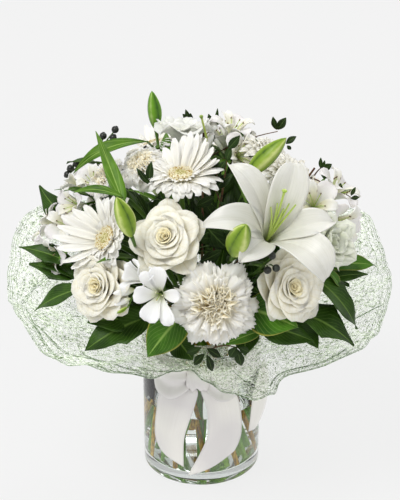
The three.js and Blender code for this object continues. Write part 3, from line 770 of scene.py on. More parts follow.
# Each length: the way it lies, its rows and columns, and what was cut for it, in metres.
RIBBON = {
    "ribbon_band": (band_place, 120, 10, (0.038, 0.385)),
    "ribbon_knot": (knot_place, 32, 16, (0.038, 0.040)),
    "ribbon_loop_left": (
        loop_place(-1, 44, 9.5, (120, 114, 113.5, 118, 125), (142, 148, 150, 150, 147)),
        48, 16, (0.038, 0.072),
    ),
    "ribbon_loop_right": (
        loop_place(1, 39, 8.0, (119, 113, 112, 114, 118), (142, 146, 148, 147, 143)),
        48, 16, (0.038, 0.060),
    ),
    "ribbon_tail_left": (
        tail_place(
            1.3, (-16, 119, -4, 121, 66.4), (-37, 110, -3, 116, 68.5), (-42.5, 84, -6.5, 98, 68.5),
            (-45.6, 62, -11.5, 78, 67.5), (-45, 51, -15.6, 57, 67),
            (-41.5, 42.2, -16.3, 24.9, 66.5),
        ),
        44, 12, (0.038, 0.088),
    ),
    "ribbon_tail_right": (
        tail_place(
            1.5, (-1, 120, 12, 119, 66.4), (0, 116, 29, 111.7, 68.5), (4.6, 97, 35, 90, 69),
            (5.4, 72, 37, 66, 68.5), (2.2, 54, 35.4, 51, 67.5), (-12.3, 15.8, 31, 40, 66.5),
        ),
        44, 12, (0.038, 0.096),
    ),
    "ribbon_tail_side": (
        tail_place(
            1.2, (70, 118, 90, 116, 62.4), (52, 106, 86, 108, 68), (47, 92, 80, 92, 70.5),
            (45, 74, 72, 76, 70.5), (43.6, 59.6, 62, 63, 69.5),
        ),
        36, 12, (0.038, 0.060),
    ),
}
for cad_name, (shape, rows, columns, flat) in RIBBON.items():
    tight = cad_name in ("ribbon_band", "ribbon_knot")
    length = grid(rows, columns, shape, satin)
    if tight:
        welded(length, 0.00005)
    length = joined("satin", [length], SATIN_THICK)
    finish_piece("satin_" + cad_name, [length], [cad_name])

# ---- the roses --------------------------------------------------------------------------------
# Garden roses, three in front and one behind, cream-white and half open. Nearly forty petals wrap
# round each other in a spiral, over a green hip with five sepals and a stalk with its leaves.
ROSES = {
    "rose_centre": ((-34, -113, 319), (-12, 42), 68, 14),
    "rose_left": ((-103, -118, 267), (-36, 25), 66, 200),
    "rose_right": ((93, -119, 265), (34, 25), 70, 140),
    "rose_back": ((25, 141, 284), (170, 30), 68, 200),
}  # the middle of the face, the azimuth and elevation it faces, the width, and its turn
ROSE_DEPTH, ROSE_WIDTH = 46, 68
# Each ring of petals: how many, the radius it hugs, how far its rim flares from there and at what
# height, how suddenly it flares, half its angle, how far the rim rolls back, and how pointed it is.
ROSE_RINGS = [
    (2, 1.4, 0.6, 39.0, 8.0, 118, 0.3, 0.04),
    (3, 2.8, 1.4, 40.4, 8.0, 94, 0.7, 0.05),
    (3, 4.2, 2.4, 41.6, 8.0, 88, 1.2, 0.06),
    (3, 5.6, 3.9, 42.4, 7.5, 84, 1.7, 0.07),
    (3, 7.2, 5.6, 43.0, 7.0, 80, 2.2, 0.08),
    (4, 8.8, 8.0, 43.0, 6.0, 66, 2.7, 0.10),
    (4, 10.4, 11.0, 42.0, 5.4, 64, 3.2, 0.11),
    (5, 12.2, 14.6, 39.4, 4.4, 56, 3.6, 0.14),
    (5, 13.8, 17.2, 35.0, 3.4, 54, 4.0, 0.19),
    (5, 15.0, 18.4, 28.5, 2.6, 50, 4.0, 0.27),
]


def petal_finish(name, base, middle, tip, vein, roughness=0.5, soft=0.5, opens=0.5, marks=None):
    """Petal skin: colour from base to tip, fine veins along it that also raise it a little, and
    light that passes a short way in. The veins are drawn 0.8 mm apart, coarser than real. marks
    adds marks to the colour."""
    finish = new_material(name)
    place = node(finish, "TexCoord")
    along = node(finish, "SeparateXYZ", {"Vector": place.outputs["UV"]}).outputs["Y"]
    drawn_out = node(finish, "Mapping", {"Vector": place.outputs["UV"], "Scale": (26, 1.6, 1)})
    veins = node(finish, "TexNoise", {"Vector": drawn_out, "Scale": 1, "Detail": 3})
    cloud = node(finish, "TexNoise", {"Vector": place.outputs["Object"], "Scale": 55, "Detail": 2})
    shifted = node(finish, "Math", {0: cloud, 1: 0.24, 2: along}, operation="MULTIPLY_ADD")
    stops = [(0.12, base), (opens, middle), (0.95, tip)]
    tone = node(finish, "ValToRGB", {"Fac": shifted}, stops)
    share = node(finish, "MapRange", {"Value": veins, 1: 0.5, 2: 0.8, 3: 0, 4: 0.6})
    tone = node(finish, "MixRGB", {"Fac": share, "Color1": tone, "Color2": vein})
    tone = marks(finish, tone) if marks else tone
    bump = node(finish, "Bump", {"Height": veins, "Strength": 0.3, "Distance": 0.0005})
    return show(
        finish, "BsdfPrincipled",
        {"Base Color": tone, "Roughness": roughness, "Subsurface Weight": soft,
         "Subsurface Radius": (1, 0.96, 0.86), "Subsurface Scale": 0.003, "Sheen Weight": 0.12,
         "Normal": bump},
    )


# Rose petals: velvety, cream-white, warmer and yellower where they grow out of the heart. The
# deep gold at their foot is partly their own colour and partly painted shade, for the warm shade
# deep between the petals.
rose_cream = petal_finish(
    "velvety_cream_rose_petal", "d3a83c", "f6e8bc", "fbf6e2", "e8dcb2", soft=0.6
)
rose_heart = petal_finish(
    "golden_cream_rose_heart", "a8741a", "eacb70", "f8edc4", "e0c884", opens=0.66
)


def leaf_finish(name, dark, light, rib, roughness, side_veins=9, edge=None):
    """Leaf skin: waxy, with a pale midrib and side veins that run slantwise from it, which also
    press into the blade, and slow changes of green. edge is the colour of its margin."""
    finish = new_material(name)
    place = node(finish, "TexCoord")
    split = node(finish, "SeparateXYZ", {"Vector": place.outputs["UV"]})
    off = node(finish, "Math", {0: split.outputs["X"], 1: 0.5}, operation="SUBTRACT")
    from_rib = node(finish, "Math", {0: off}, operation="ABSOLUTE")
    midrib = node(finish, "MapRange", {"Value": from_rib, 1: 0.012, 2: 0.05, 3: 1, 4: 0})
    slant = {0: from_rib, 1: -1.1, 2: split.outputs["Y"]}
    slant = node(finish, "Math", slant, operation="MULTIPLY_ADD")
    rows = node(finish, "Math", {0: slant, 1: side_veins}, operation="MULTIPLY")
    fold = node(finish, "Math", {0: rows, 1: 0.5}, operation="PINGPONG")
    side = node(finish, "MapRange", {"Value": fold, 1: 0, 2: 0.1, 3: 0.45, 4: 0})
    veins = node(finish, "Math", {0: midrib, 1: side}, operation="MAXIMUM")
    cloud = node(finish, "TexNoise", {"Vector": place.outputs["Object"], "Scale": 45, "Detail": 4})
    tone = node(finish, "ValToRGB", {"Fac": cloud}, [(0.35, dark), (0.68, light)])
    tone = node(finish, "MixRGB", {"Fac": veins, "Color1": tone, "Color2": rib})
    if edge:
        rim = node(finish, "MapRange", {"Value": from_rib, 1: 0.45, 2: 0.49, 3: 0, 4: 0.8})
        tone = node(finish, "MixRGB", {"Fac": rim, "Color1": tone, "Color2": edge})
    wax = node(finish, "MapRange", {"Value": cloud, 3: roughness - 0.06, 4: roughness + 0.1})
    height = node(finish, "Math", {0: veins, 1: -1, 2: cloud}, operation="MULTIPLY_ADD")
    bump = node(finish, "Bump", {"Height": height, "Strength": 0.45, "Distance": 0.0006})
    return show(
        finish, "BsdfPrincipled",
        {"Base Color": tone, "Roughness": wax, "Specular IOR Level": 0.18, "Normal": bump},
    )


# Rose leaves: soft green above with clear veins, matt and greyer below.
rose_leaf = leaf_finish("soft_green_rose_leaf", "1a2c0a", "324b17", "56702f", 0.46)
pale_under = leaf_finish("matt_leaf_underside", "5c7748", "7e9565", "a3b487", 0.65)

# The outline of a lobed leaf, such as ivy: its half width at shares of its length.
LOBED = (
    (0, 0.06, 0.16, 0.3, 0.4, 0.47, 0.56, 0.7, 0.86, 1),
    (0.1, 0.5, 0.72, 0.88, 1, 0.72, 0.64, 0.46, 0.22, 0),
)


def leaf(base, tip, width, fat=0.42, arch=0.1, fold=0.3, wave=0.03, lobe=0, roll=0, shows=None):
    """A leaf from base to tip: widest at the share fat of its length, arched, folded up along its
    midrib and wavy at its edge. lobe makes its outline lobed, roll turns it about its length, and
    shows is the way its upper side faces."""
    base, tip = Vector(base), Vector(tip)
    along = tip - base
    length = along.length
    along.normalize()
    side = Vector(shows or (0, 0, 1)).cross(along)
    side = side.normalized() if shows or side.length > 0.05 else Vector((1, 0, 0))
    side = Matrix.Rotation(roll, 3, along) @ side
    out = along.cross(side)
    k = math.log(0.5) / math.log(fat)
    phase = chance.uniform(0, 6.3)
    base, along, side, out = (np.array(x) for x in (base, along, side, out))

    def place(u, v):
        oval = np.sin(np.pi * u**k) ** 0.9 * (1 - 0.25 * u**6)
        half = 0.35 + width / 2 * ((1 - lobe) * oval + lobe * np.interp(u, *LOBED))
        lift = arch * length * 4 * u * (1 - u) + fold * half * np.abs(v)
        lift = lift + wave * length * np.sin(9 * u + phase + 1.5 * np.sign(v)) * np.abs(v) ** 2
        shoulder = 0.12 * lobe * v**2 * np.exp(-((u / 0.2) ** 2))
        return (
            base + np.outer((u - shoulder) * length, along) + np.outer(v * half, side)
            + np.outer(lift, out)
        )

    return place


def blades(parts, thickness):
    """Joins petals or leaves of one kind and thickens them."""
    return joined("blades", parts, thickness, offset=-1)


def leaves(places, finish, under=pale_under, rows=10, columns=4):
    """Leaves at the given places, as one part. The second material is their upper side's."""
    made = [grid(rows, columns, place, under) for place in places]
    for part in made:
        part.data.materials.append(finish)
    return blades(made, 0.35)


def stand(part, base, axis, roll=0):
    """Stands a part that was made upright at the origin on base, along axis."""
    upright_to_axis = Vector((0, 0, 1)).rotation_difference(Vector(axis)).to_matrix().to_4x4()
    part.data.transform(
        Matrix.Translation(Vector(base) * mm)
        @ upright_to_axis
        @ Matrix.Rotation(math.radians(roll), 4, "Z")
    )
    return part


def petal(start, reach, rise, drop, width, azimuth, fat=0.6, cup=0.3, wave=0, foot=0.3, end=0.2,
          blunt=0.8, twist=0, groove=0):
    """A petal that grows from radius start, climbs to rise and ends at reach, drop below that. It
    is widest at the share fat of its length; foot and end are its widths there as shares."""
    a = math.radians(azimuth)
    k = math.log(0.5) / math.log(fat)
    phase = chance.uniform(0, 6.3)

    def place(u, v):
        s = 1 - u
        r1, r2 = start + 0.12 * (reach - start), start + 0.7 * (reach - start)
        z1, z2, z3 = 0.62 * rise, rise + 0.35 * drop, rise - drop
        r = start * s**3 + 3 * r1 * s * s * u + 3 * r2 * s * u * u + reach * u**3
        z = 3 * z1 * s * s * u + 3 * z2 * s * u * u + z3 * u**3
        dr = 3 * (r1 - start) * s * s + 6 * (r2 - r1) * s * u + 3 * (reach - r2) * u * u
        dz = 3 * z1 * s * s + 6 * (z2 - z1) * s * u + 3 * (z3 - z2) * u * u
        size = np.hypot(dr, dz) + 1e-9
        least = foot * s + end * u
        half = width / 2 * (least + (1 - least) * np.sin(np.pi * u**k) ** blunt)
        lift = cup * half * v**2
        lift = lift + wave * u * np.sin(7 * u + phase + 2 * np.sign(v)) * np.abs(v) ** 3
        lift = lift + twist * v * half * u - groove * np.exp(-((v / 0.16) ** 2)) * u * (1 - u) * 4
        r = r - dz / size * lift
        z = z + dr / size * lift
        across = v * half
        return np.stack(
            [r * math.cos(a) - across * math.sin(a), r * math.sin(a) + across * math.cos(a), z], -1
        )

    return place


def rose_petal(size, ring, azimuth):
    """A rose petal, which hugs those inside it, and then flares and rolls back at its rim."""
    _, body, flare, rim, sudden, spread, curl, point = ring
    phase, other = chance.uniform(0, 6.3), chance.uniform(0, 6.3)
    rim = rim * chance.uniform(0.97, 1.03)
    flare = flare * chance.uniform(0.92, 1.08)

    def place(u, v):
        w = u * (1 - point * np.abs(v) ** 1.5)
        a = np.radians(azimuth + spread * v * (0.3 + 0.7 * np.clip(u / 0.6, 0, 1) ** 0.8))
        r = 2 + (body - 2) * (1 - (1 - w) ** 3) + flare * w**sudden + (0.35 + 0.02 * flare) * v
        back = np.clip((w - 0.8) / 0.2, 0, 1)
        r = r + curl * back**2 + 0.3 * curl * np.abs(v) ** 4 * u
        r = r + (0.5 + 0.06 * flare) * np.sin(3 * v + phase) * u**2
        z = 3 + (rim - 3) * w**1.05 - 0.6 * curl * back**3 + 1.2 * np.sin(2.6 * v + other) * u**3
        off = 2.4 * (1 - (body + flare) / 32) * u  # the heart lies off the middle
        return np.stack([size * (r * np.cos(a) - off), size * r * np.sin(a), z], -1)

    return place


def azimuth_of(way):
    """The azimuth of a direction, in degrees."""
    return math.degrees(math.atan2(way.x, -way.y))


def stem_leaves(line, count, length, width, low, high):
    """Places of leaves that grow from a stem between two shares of its line above the tie, out of
    the bunch and up."""
    upper = line[7:]
    found = []
    for i in range(count):
        t = low + (high - low) * (i + chance.uniform(0.2, 0.8)) / count
        root = upper[min(len(upper) - 1, int(t * (len(upper) - 1)))]
        outward = (root - Vector((0, 0, 190))).normalized()
        flat = azimuth_of(outward) + chance.uniform(-50, 50)
        rise = math.degrees(math.asin(max(-1, min(1, outward.z)))) + chance.uniform(-35, 8)
        size = length * chance.uniform(0.8, 1.15)
        tip = root + facing(flat, rise) * size
        found.append(
            leaf(root, tip, width * chance.uniform(0.85, 1.15), arch=chance.uniform(0.02, 0.16),
                 roll=chance.uniform(-0.6, 0.6))
        )
    return found


def leafy_stem(name, radius, top, axis, finish, *found_by, loss=0):
    """A green stem and its leaves, which are found by the numbers that stem_leaves takes."""
    line = stem_line(name, radius, top, axis)
    stem = stalk(line, tapered(line, radius, loss), stem_green)
    return [stem, leaves(stem_leaves(line, *found_by), finish)]


def seat(at, faces, depth):
    """The base and axis of a flower whose face, so deep in front of it, is at a point."""
    axis = facing(*faces)
    return Vector(at) - axis * depth, axis


def finish_flower(name, head, green, apart=False):
    """A flower is one piece, or two where CAD has its head and its stem apart."""
    if apart:
        finish_piece(name + "_bloom", head, [name + "_head"])
        finish_piece(name + "_stalk", green, [name + "_stem"])
    else:
        finish_piece(name + "_flower", head + green, [name])


for name, (at, faces, across, azimuth) in ROSES.items():
    base, axis = seat(at, faces, ROSE_DEPTH)
    petals = []
    for ring in ROSE_RINGS:
        finish = rose_heart if ring[1] < 5 else rose_cream
        for i in range(ring[0]):
            azimuth += 360 / ring[0] + chance.uniform(-6, 6)
            petals.append(grid(16, 10, rose_petal(across / ROSE_WIDTH, ring, azimuth), finish))
        azimuth += 180 / ring[0] + chance.uniform(-12, 12)
    petals = joined("petals", petals, 0.5)
    sepals = leaves(
        [petal(3, 19, 5, 9, 8, 72 * i + 20, fat=0.3, cup=0.2, end=0.04) for i in range(5)],
        rose_leaf, rows=6,
    )
    hip = turned(
        "hip", [(2.6, -1), (4.5, 0.5), (6.2, 3), (6.6, 6), (5.2, 9), (3, 9.5)], 12, stem_green
    )
    head = [stand(part, base, axis) for part in (petals, sepals, hip)]
    green = leafy_stem(
        name, 2.8, base - axis * 0.3, axis, rose_leaf, 5, 48, 26, 0.45, 0.9, loss=0.5
    )
    finish_flower(name, head, green, apart=name != "rose_back")

# ---- the gerberas -----------------------------------------------------------------------------
# Gerbera daisies, near white. Two full rings of long strap petals and a short inner one stand
# round a disc of tiny cream and green florets, on a green cup of scales and a thick hollow stalk.
GERBERAS = {
    "gerbera_top": ((-20, -51, 357), (-25, 87), 84, (45, 80, 60), -2, 0.34, None),
    "gerbera_left": ((-95, -88, 304), (-60, 38), 97, (-80, 10, 14), 3, 0.5, (-8, -30, -37)),
    "gerbera_back": ((-50, 112, 312), (-158, 46), 70, (0, 60, -20), -5, 0.2, None),
}  # the middle of the face, where it faces, its width, the way its petals stand up most, how much
# those on the other side are raised and shortened, and the way a neighbour crowds them, if any
GERBERA_DEPTH = 15
# Each ring of petals: how many, their length as a share, rise, drop and width, the radius where
# they start, and the ring's turn.
GERBERA_RINGS = [
    (25, 1.0, 6, 6, 9.6, 6.5, 0), (23, 0.92, 9, 4, 9.0, 6.5, 7), (24, 0.44, 12, 1, 3.6, 8.6, 3),
]
DISC_FLORETS, DISC_RADIUS, DISC_MIDDLE, GOLDEN_ANGLE = 150, 10.5, 5.2, 137.508
# Gerbera petals: satiny and near white, creamier at the foot, with fine ribs along them.
gerbera_white = petal_finish(
    "ribbed_white_gerbera_petal", "ecdfae", "faf6e6", "fdfbf3", "dcd3b4"
)


def floret_finish(name, tones):
    """Disc florets: dull and downy. Each is 1.5 mm across, and its tone changes from one to the
    next. Faint ribs run along it."""
    finish = new_material(name)
    place = node(finish, "TexCoord")
    each = node(finish, "TexNoise", {"Vector": place.outputs["Object"], "Scale": 520, "Detail": 1})
    drawn_out = node(finish, "Mapping", {"Vector": place.outputs["UV"], "Scale": (26, 1.6, 1)})
    ribs = node(finish, "TexNoise", {"Vector": drawn_out, "Scale": 1, "Detail": 3})
    tone = node(finish, "ValToRGB", {"Fac": each}, tones)
    bump = node(finish, "Bump", {"Height": ribs, "Strength": 0.3, "Distance": 0.0005})
    return show(
        finish, "BsdfPrincipled",
        {"Base Color": tone, "Roughness": 0.7, "Sheen Weight": 0.12, "Normal": bump},
    )


# The disc's florets: cream tubes tipped with gold outside, tight greenish buds in the middle.
floret_cream = floret_finish(
    "cream_disc_floret", [(0.34, "b58f45"), (0.43, "e8dba2"), (0.56, "fcf8e4")]
)
floret_green = floret_finish(
    "green_disc_floret", [(0.36, "a89a48"), (0.46, "d3cb86"), (0.6, "f1ecc2")]
)


def copies(model, places):
    """Copies of a model at the given matrices, each with its own mesh. The model goes."""
    made = []
    for place in places:
        mesh = model.data.copy()
        mesh.transform(place)
        made.append(bpy.data.objects.new("copy", mesh))
        bpy.context.collection.objects.link(made[-1])
    bpy.data.objects.remove(model)
    return made


def floret(radius, height, finish):
    """A disc floret: a small cone, pinched at its foot and open at its top."""
    profile = [(0.5, 0), (0.8, 0.5), (1, 1), (0.4, 0.8)]
    return turned("floret", [(radius * r, height * z) for r, z in profile], 5, finish)


def own_frame(base, axis, point):
    """A point in a flower's own frame: its azimuth, its reach and how far it is along the axis."""
    turned_back = Vector(axis).rotation_difference(Vector((0, 0, 1)))
    here = turned_back @ (Vector(point) - Vector(base))
    return math.degrees(math.atan2(here.y, here.x)), math.hypot(here.x, here.y), here.z


for name, (at, faces, across, stands, near_up, near_short, crowded) in GERBERAS.items():
    base, axis = seat(at, faces, GERBERA_DEPTH)
    far = own_frame(base, axis, base + Vector(stands))[0]
    straps = []
    for count, share, rise, drop, wide, start, shift in GERBERA_RINGS:
        long = share > 0.5
        for i in range(count):
            azimuth = 360 * i / count + shift + chance.uniform(-4, 4)
            towards = math.cos(math.radians(azimuth - far))
            up = (16 * max(0, towards) ** 1.5 if long else 0) + near_up * max(0, -towards)
            length = share * (across / 2) * chance.uniform(0.93, 1.04) - 0.4 * max(0, up)
            if long:
                length = length * (1 + near_short * min(0, towards))
            if long and crowded:
                beside = own_frame(base, axis, base + Vector(crowded))[0]
                length *= 1 - 0.5 * max(0, math.cos(math.radians(azimuth - beside))) ** 9
            strap = petal(
                start, length, rise + 0.8 * up + chance.uniform(-1.5, 1.5),
                drop - 1.3 * max(0, up) + 0.8 * max(0, -up) + chance.uniform(-2, 2),
                wide * chance.uniform(0.88, 1.08), azimuth, fat=0.66, cup=0.16, foot=0.42, end=0.3,
                blunt=0.45, twist=chance.uniform(-0.2, 0.2), groove=0.5,
            )
            straps.append(grid(8, 6, strap, gerbera_white))
    buds, tubes = [], []
    for i in range(DISC_FLORETS):
        a = math.radians(GOLDEN_ANGLE * i)
        r = DISC_RADIUS * math.sqrt((i + 0.5) / DISC_FLORETS)
        is_bud = r <= DISC_MIDDLE
        spot = Vector((r * math.cos(a), r * math.sin(a), 8.6 if is_bud else 8.4 + 0.03 * r))
        spot = Matrix.Translation(spot * mm)
        if is_bud:
            buds.append(spot)
        else:
            tubes.append(spot @ Matrix.Rotation(a, 4, "Z") @ Matrix.Rotation(0.06 * r, 4, "Y"))
    scales = [petal(5 + i % 2, 11, 5, 0, 4.6, 18 * i, fat=0.5, end=0.05) for i in range(20)]
    head = [
        blades(straps, 0.4),
        turned("cup", [(3, -1), (6, 0.5), (8.6, 3), (9, 5), (2, 5.4)], 20, stem_green),
        turned("bed", [(8.5, 4), (10.8, 6), (10.9, 8.6), (9, 9.2), (1, 9.3)], 20, floret_cream),
        leaves(scales, rose_leaf, rows=4),
        *copies(floret(0.75, 2.0, floret_green), buds),
        *copies(floret(0.8, 2.8, floret_cream), tubes),
    ]
    head = [stand(part, base, axis) for part in head]
    green = [stalk(stem_line(name, 2.8, base - axis * 0.3, axis), 2.7, stem_green)]
    finish_flower(name, head, green, apart=name != "gerbera_back")

# ---- the carnations ---------------------------------------------------------------------------
# Carnations: a dome of fan petals with cut, toothed edges, ruffled, the outer ones spread flat and
# the inner ones packed on edge. They burst out of a green tube, the calyx.
CARNATIONS = {
    "carnation_front": ((14, -151, 262), (5, 20), 84),
    "carnation_upper_left": ((-61, -20, 353), (-60, 60), 54),
    "carnation_far_left": ((-99, -15, 334), (-78, 48), 46),
    "carnation_back": ((110, 92, 284), (130, 30), 76),
}
CARNATION_DEPTH, CARNATION_WIDTH = 40, 84
# Papery petals, creamy white at the rim and cream towards the foot, golden down in the heart. The
# gold low down is partly their own colour and partly painted shade, for the warm shade in the
# hollows of the heart.
carnation_white = petal_finish(
    "papery_white_carnation_petal", "dcbc60", "faf0d0", "fefbf0", "ece2c2", soft=0.65
)
carnation_heart = petal_finish(
    "golden_carnation_heart", "b8801a", "f5da90", "fef6da", "efd494", soft=0.62, opens=0.66
)
TEETH = 22


def fan_petal(length, width, tilt, azimuth, ruffle, root, turns, off):
    """A carnation petal: a fan that leans out to tilt from the flower's axis, with a toothed end
    and so many turns of ruffle. It springs off the axis by off, at the height root."""
    a = math.radians(azimuth)
    phase, other, lobe = (chance.uniform(0, 6.3) for _ in range(3))

    def place(u, v):
        teeth = np.where(np.round((v + 1) / 2 * TEETH) % 2 < 1, 1.0, 0.945)
        along = length * u * (1 - 0.2 * v**2) * (1 + 0.08 * u * np.sin(4 * v + lobe))
        along = along * np.where(u > 0.98, teeth, 1)
        lean = math.radians(tilt) * (0.35 + 0.65 * u)
        r, z = 1.5 + along * np.sin(lean), root + along * np.cos(lean)
        fine = 0.3 * u**4 * np.sin(5.5 * np.pi * v + other)
        wave = ruffle * (u**1.4 * np.sin(turns * np.pi * v + phase) + fine)
        r, z = r - wave * np.cos(lean), z + wave * np.sin(lean)
        across = v * (width / 2 * (0.14 + 0.86 * u**0.85))
        x = r * math.cos(a) - across * math.sin(a) + off[0]
        return np.stack([x, r * math.sin(a) + across * math.cos(a) + off[1], z], -1)

    return place


# Each ring of a carnation 84 mm across: how many fans, how long and wide, how far they lean out,
# how deep their waves are, how many, how far above the calyx they spring, and how far they stray
# from the middle: those of the heart stand every way.
CARNATION_RINGS = [
    (5, 42, 42, 99, 3.4, 2.2, -25, 0), (6, 39, 36, 86, 4.2, 2.4, -25, 0),
    (6, 35, 32, 72, 4.6, 2.6, -25, 0), (7, 30, 27, 56, 4.6, 2.8, -24, 3),
    (8, 26, 22, 40, 4.4, 3.0, -24, 6), (9, 23, 19, 27, 4.2, 3.0, -24, 8),
    (9, 21, 16, 16, 4.0, 2.8, -23, 9), (6, 19, 14, 8, 3.6, 2.6, -22, 7),
]
for name, (at, faces, across) in CARNATIONS.items():
    size = across / CARNATION_WIDTH
    base, axis = seat(at, faces, CARNATION_DEPTH)
    fans = []
    for count, long, wide, tilt, ruffle, turns, root, stray in CARNATION_RINGS:
        finish = carnation_heart if long < 28 else carnation_white
        turn_by = chance.uniform(0, 90)
        for i in range(count):
            azimuth = turn_by + 360 * i / count + chance.uniform(-16, 16)
            reach, a = stray * size * math.sqrt(chance.random()), math.radians(azimuth)
            off = (reach * math.cos(a), reach * math.sin(a))
            if stray > 4:
                azimuth = chance.uniform(0, 360)
            fan = fan_petal(
                long * size * chance.uniform(0.84, 1.06), wide * size * chance.uniform(0.85, 1.1),
                tilt + chance.uniform(-12, 8), azimuth, ruffle * size,
                CARNATION_DEPTH + root * size, turns, off,
            )
            fans.append(grid(9, TEETH, fan, finish))
    fans = joined("fans", fans, 0.35)
    top = CARNATION_DEPTH - 22 * size
    tube = [(2.2, -1), (5, 0.5), (6.5, 3), (6.2, top * 0.7), (7, top), (3, top)]
    head = [stand(part, base, axis) for part in (fans, turned("calyx", tube, 12, stem_green))]
    line = stem_line(name, 2.2, base - axis * 0.3, axis)
    grassy = [
        leaf(line[k], line[k] + facing(chance.uniform(-180, 180), 35) * 42, 5, fat=0.3, arch=0.15)
        for k in (13, 13, 16, 16, 19, 19)
    ]
    green = [stalk(line, 2.2, stem_green), leaves(grassy, rose_leaf)]
    finish_flower(name, head, green, apart=name == "carnation_front")

# ---- the lily ---------------------------------------------------------------------------------
# One open oriental lily in front on the right: six thick white petals that curl back, a groove
# along each, green at the throat, with pale green filaments whose anthers were taken off.
LILY_BASE = Vector((60, -79, 292))
LILY_AXIS = facing(25, 48)
# Each petal: its tip, its width, how high it climbs before it curls back, and how blunt it ends.
LILY_PETALS = [
    ((85, -84, 377), 37, 74, 0.34),
    ((25, -80, 373), 27, 68, 0.05),
    ((2, -116, 330), 31, 60, 0.24),
    ((35, -136, 302), 28, 52, 0.05),
    ((115, -132, 283), 36, 64, 0.32),
    ((122, -100, 324), 27, 62, 0.05),
]
# The filaments and the longer style all lean up the tallest petal. Each is given by its end.
THROAT = LILY_BASE + LILY_AXIS * 8
FILAMENTS = [(70, -100, 344), (81, -99, 343), (87, -101, 343), (64, -100, 340), (76, -99, 338)]
STIGMA_AT = Vector((76, -104, 358))
# Lily petals: thick and waxy, with a dull gloss, white over a green foot. The filaments are
# smooth and pale green.
lily_white = petal_finish(
    "thick_white_lily_petal", "b4c468", "dfded2", "dddcd5", "c2c3b2", 0.4, opens=0.34
)
lily_filament = petal_finish("pale_green_filament", "9fbf3f", "b5cd5a", "cbdc86", "a4bf48", 0.4, 0)


def bowed(start, end, bow, steps=6):
    """Points from start to end, with so much bow in the middle."""
    share = [k / steps for k in range(steps + 1)]
    return [start.lerp(end, t) + bow * math.sin(math.pi * k / steps) for k, t in enumerate(share)]


petals = []
for i, (tip, width, height, end) in enumerate(LILY_PETALS):
    azimuth, reach, along = own_frame(LILY_BASE, LILY_AXIS, tip)
    start, wave = ((2.5, 4.6), (3.5, 3.2))[i % 2]  # wider, wavier petals and narrow ones by turns
    place = petal(
        start, reach, height, height - along, width, azimuth, fat=0.58, cup=0.34, wave=wave,
        foot=0.22, end=end, blunt=0.9, groove=1.8,
    )
    petals.append(grid(24, 14, place, lily_white))
petals = blades(petals, 0.9)
thick = [1.3 - 0.1 * k for k in range(7)]
filaments = [
    stalk(bowed(THROAT, Vector(end), LILY_AXIS * 7), thick, lily_filament, 6) for end in FILAMENTS
]
style = bowed(THROAT, STIGMA_AT, LILY_AXIS * 6, 8)
filaments.append(stalk(style, [1.5] * 2 + [1.1] * 6 + [1.5], lily_filament, 6))
stigma = [(1.2, -1), (2.2, 0), (2.6, 1.2), (1.8, 2), (0.8, 1.7)]
stigma = turned("stigma", stigma, 9, lily_filament)
stand(stigma, STIGMA_AT, (STIGMA_AT - style[-2]).normalized())
stand(petals, LILY_BASE, LILY_AXIS)
finish_piece("lily_open_bloom", [petals, *filaments, stigma], ["lily_bloom"])

# ---- the lily stems ---------------------------------------------------------------------------
# Three lily stems carry closed buds, long and three-sided with pale ribs, and arching leaves that
# are grooved along their length.
LILY_STEMS = {
    "lily": (
        LILY_BASE - LILY_AXIS * 0.3, LILY_AXIS,
        [((29, -114, 297), (40, -143, 344), 22), ((42, -48, 346), (80, -42, 384), 18)], [],
    ),
    "lily_bud_left": (
        Vector((-64, -92, 300)), facing(-35, 70), [((-64, -118, 318), (-77, -127, 364), 18)],
        [((-72, -97, 341), (-100, -30, 385), 14, 0.03, 0.3),
         ((-72, -92, 346), (-119, -80, 345), 9, 0.16, 0.45)],
    ),
    "lily_bud_top": (
        Vector((-44, 50, 332)), facing(-35, 70), [((-45, 60, 345), (-49, 60, 388), 14)],
        [((-52, -8, 364), (-123, -20, 336), 14, 0.2, 0.5)],
    ),
}  # the top and its axis, each bud by its base, tip and width, and each long leaf by its base,
# tip and width, how much it arches and where it is widest


def bud_finish(name, stops):
    """Bud skin: firm and satiny, with three paler ribs where the petals meet."""
    finish = new_material(name)
    place = node(finish, "TexCoord")
    round_it = node(finish, "SeparateXYZ", {"Vector": place.outputs["UV"]}).outputs["X"]
    thirds = node(finish, "Math", {0: round_it, 1: 3}, operation="MULTIPLY")
    wave = node(finish, "Math", {0: thirds, 1: 0.5}, operation="PINGPONG")
    cloud = {"Vector": place.outputs["Object"], "Scale": 160, "Detail": 3}
    cloud = node(finish, "TexNoise", cloud)
    ribs = node(finish, "Math", {0: cloud, 1: 0.25, 2: wave}, operation="MULTIPLY_ADD")
    tone = node(finish, "ValToRGB", {"Fac": ribs}, stops)
    bump = node(finish, "Bump", {"Height": ribs, "Strength": 0.4, "Distance": 0.0008})
    return show(
        finish, "BsdfPrincipled",
        {"Base Color": tone, "Roughness": 0.38, "Specular IOR Level": 0.3, "Normal": bump},
    )


# Buds near opening are a soft yellow-green, paler along the ribs. A tight one is darker.
bud_green = bud_finish(
    "satiny_green_bud", [(0.1, "3d5c14"), (0.22, "6f8e20"), (0.46, "93ae3c"), (0.62, "ccd786")]
)
young_bud = bud_finish(
    "tight_dark_green_bud", [(0.12, "34600e"), (0.3, "56851a"), (0.52, "70a02a"), (0.68, "b0c87c")]
)
# Lily leaves: bright mid green, glossy, with veins that run along them.
lily_leaf = leaf_finish("glossy_lily_leaf", "34580a", "5a8222", "8eac54", 0.4, 2)


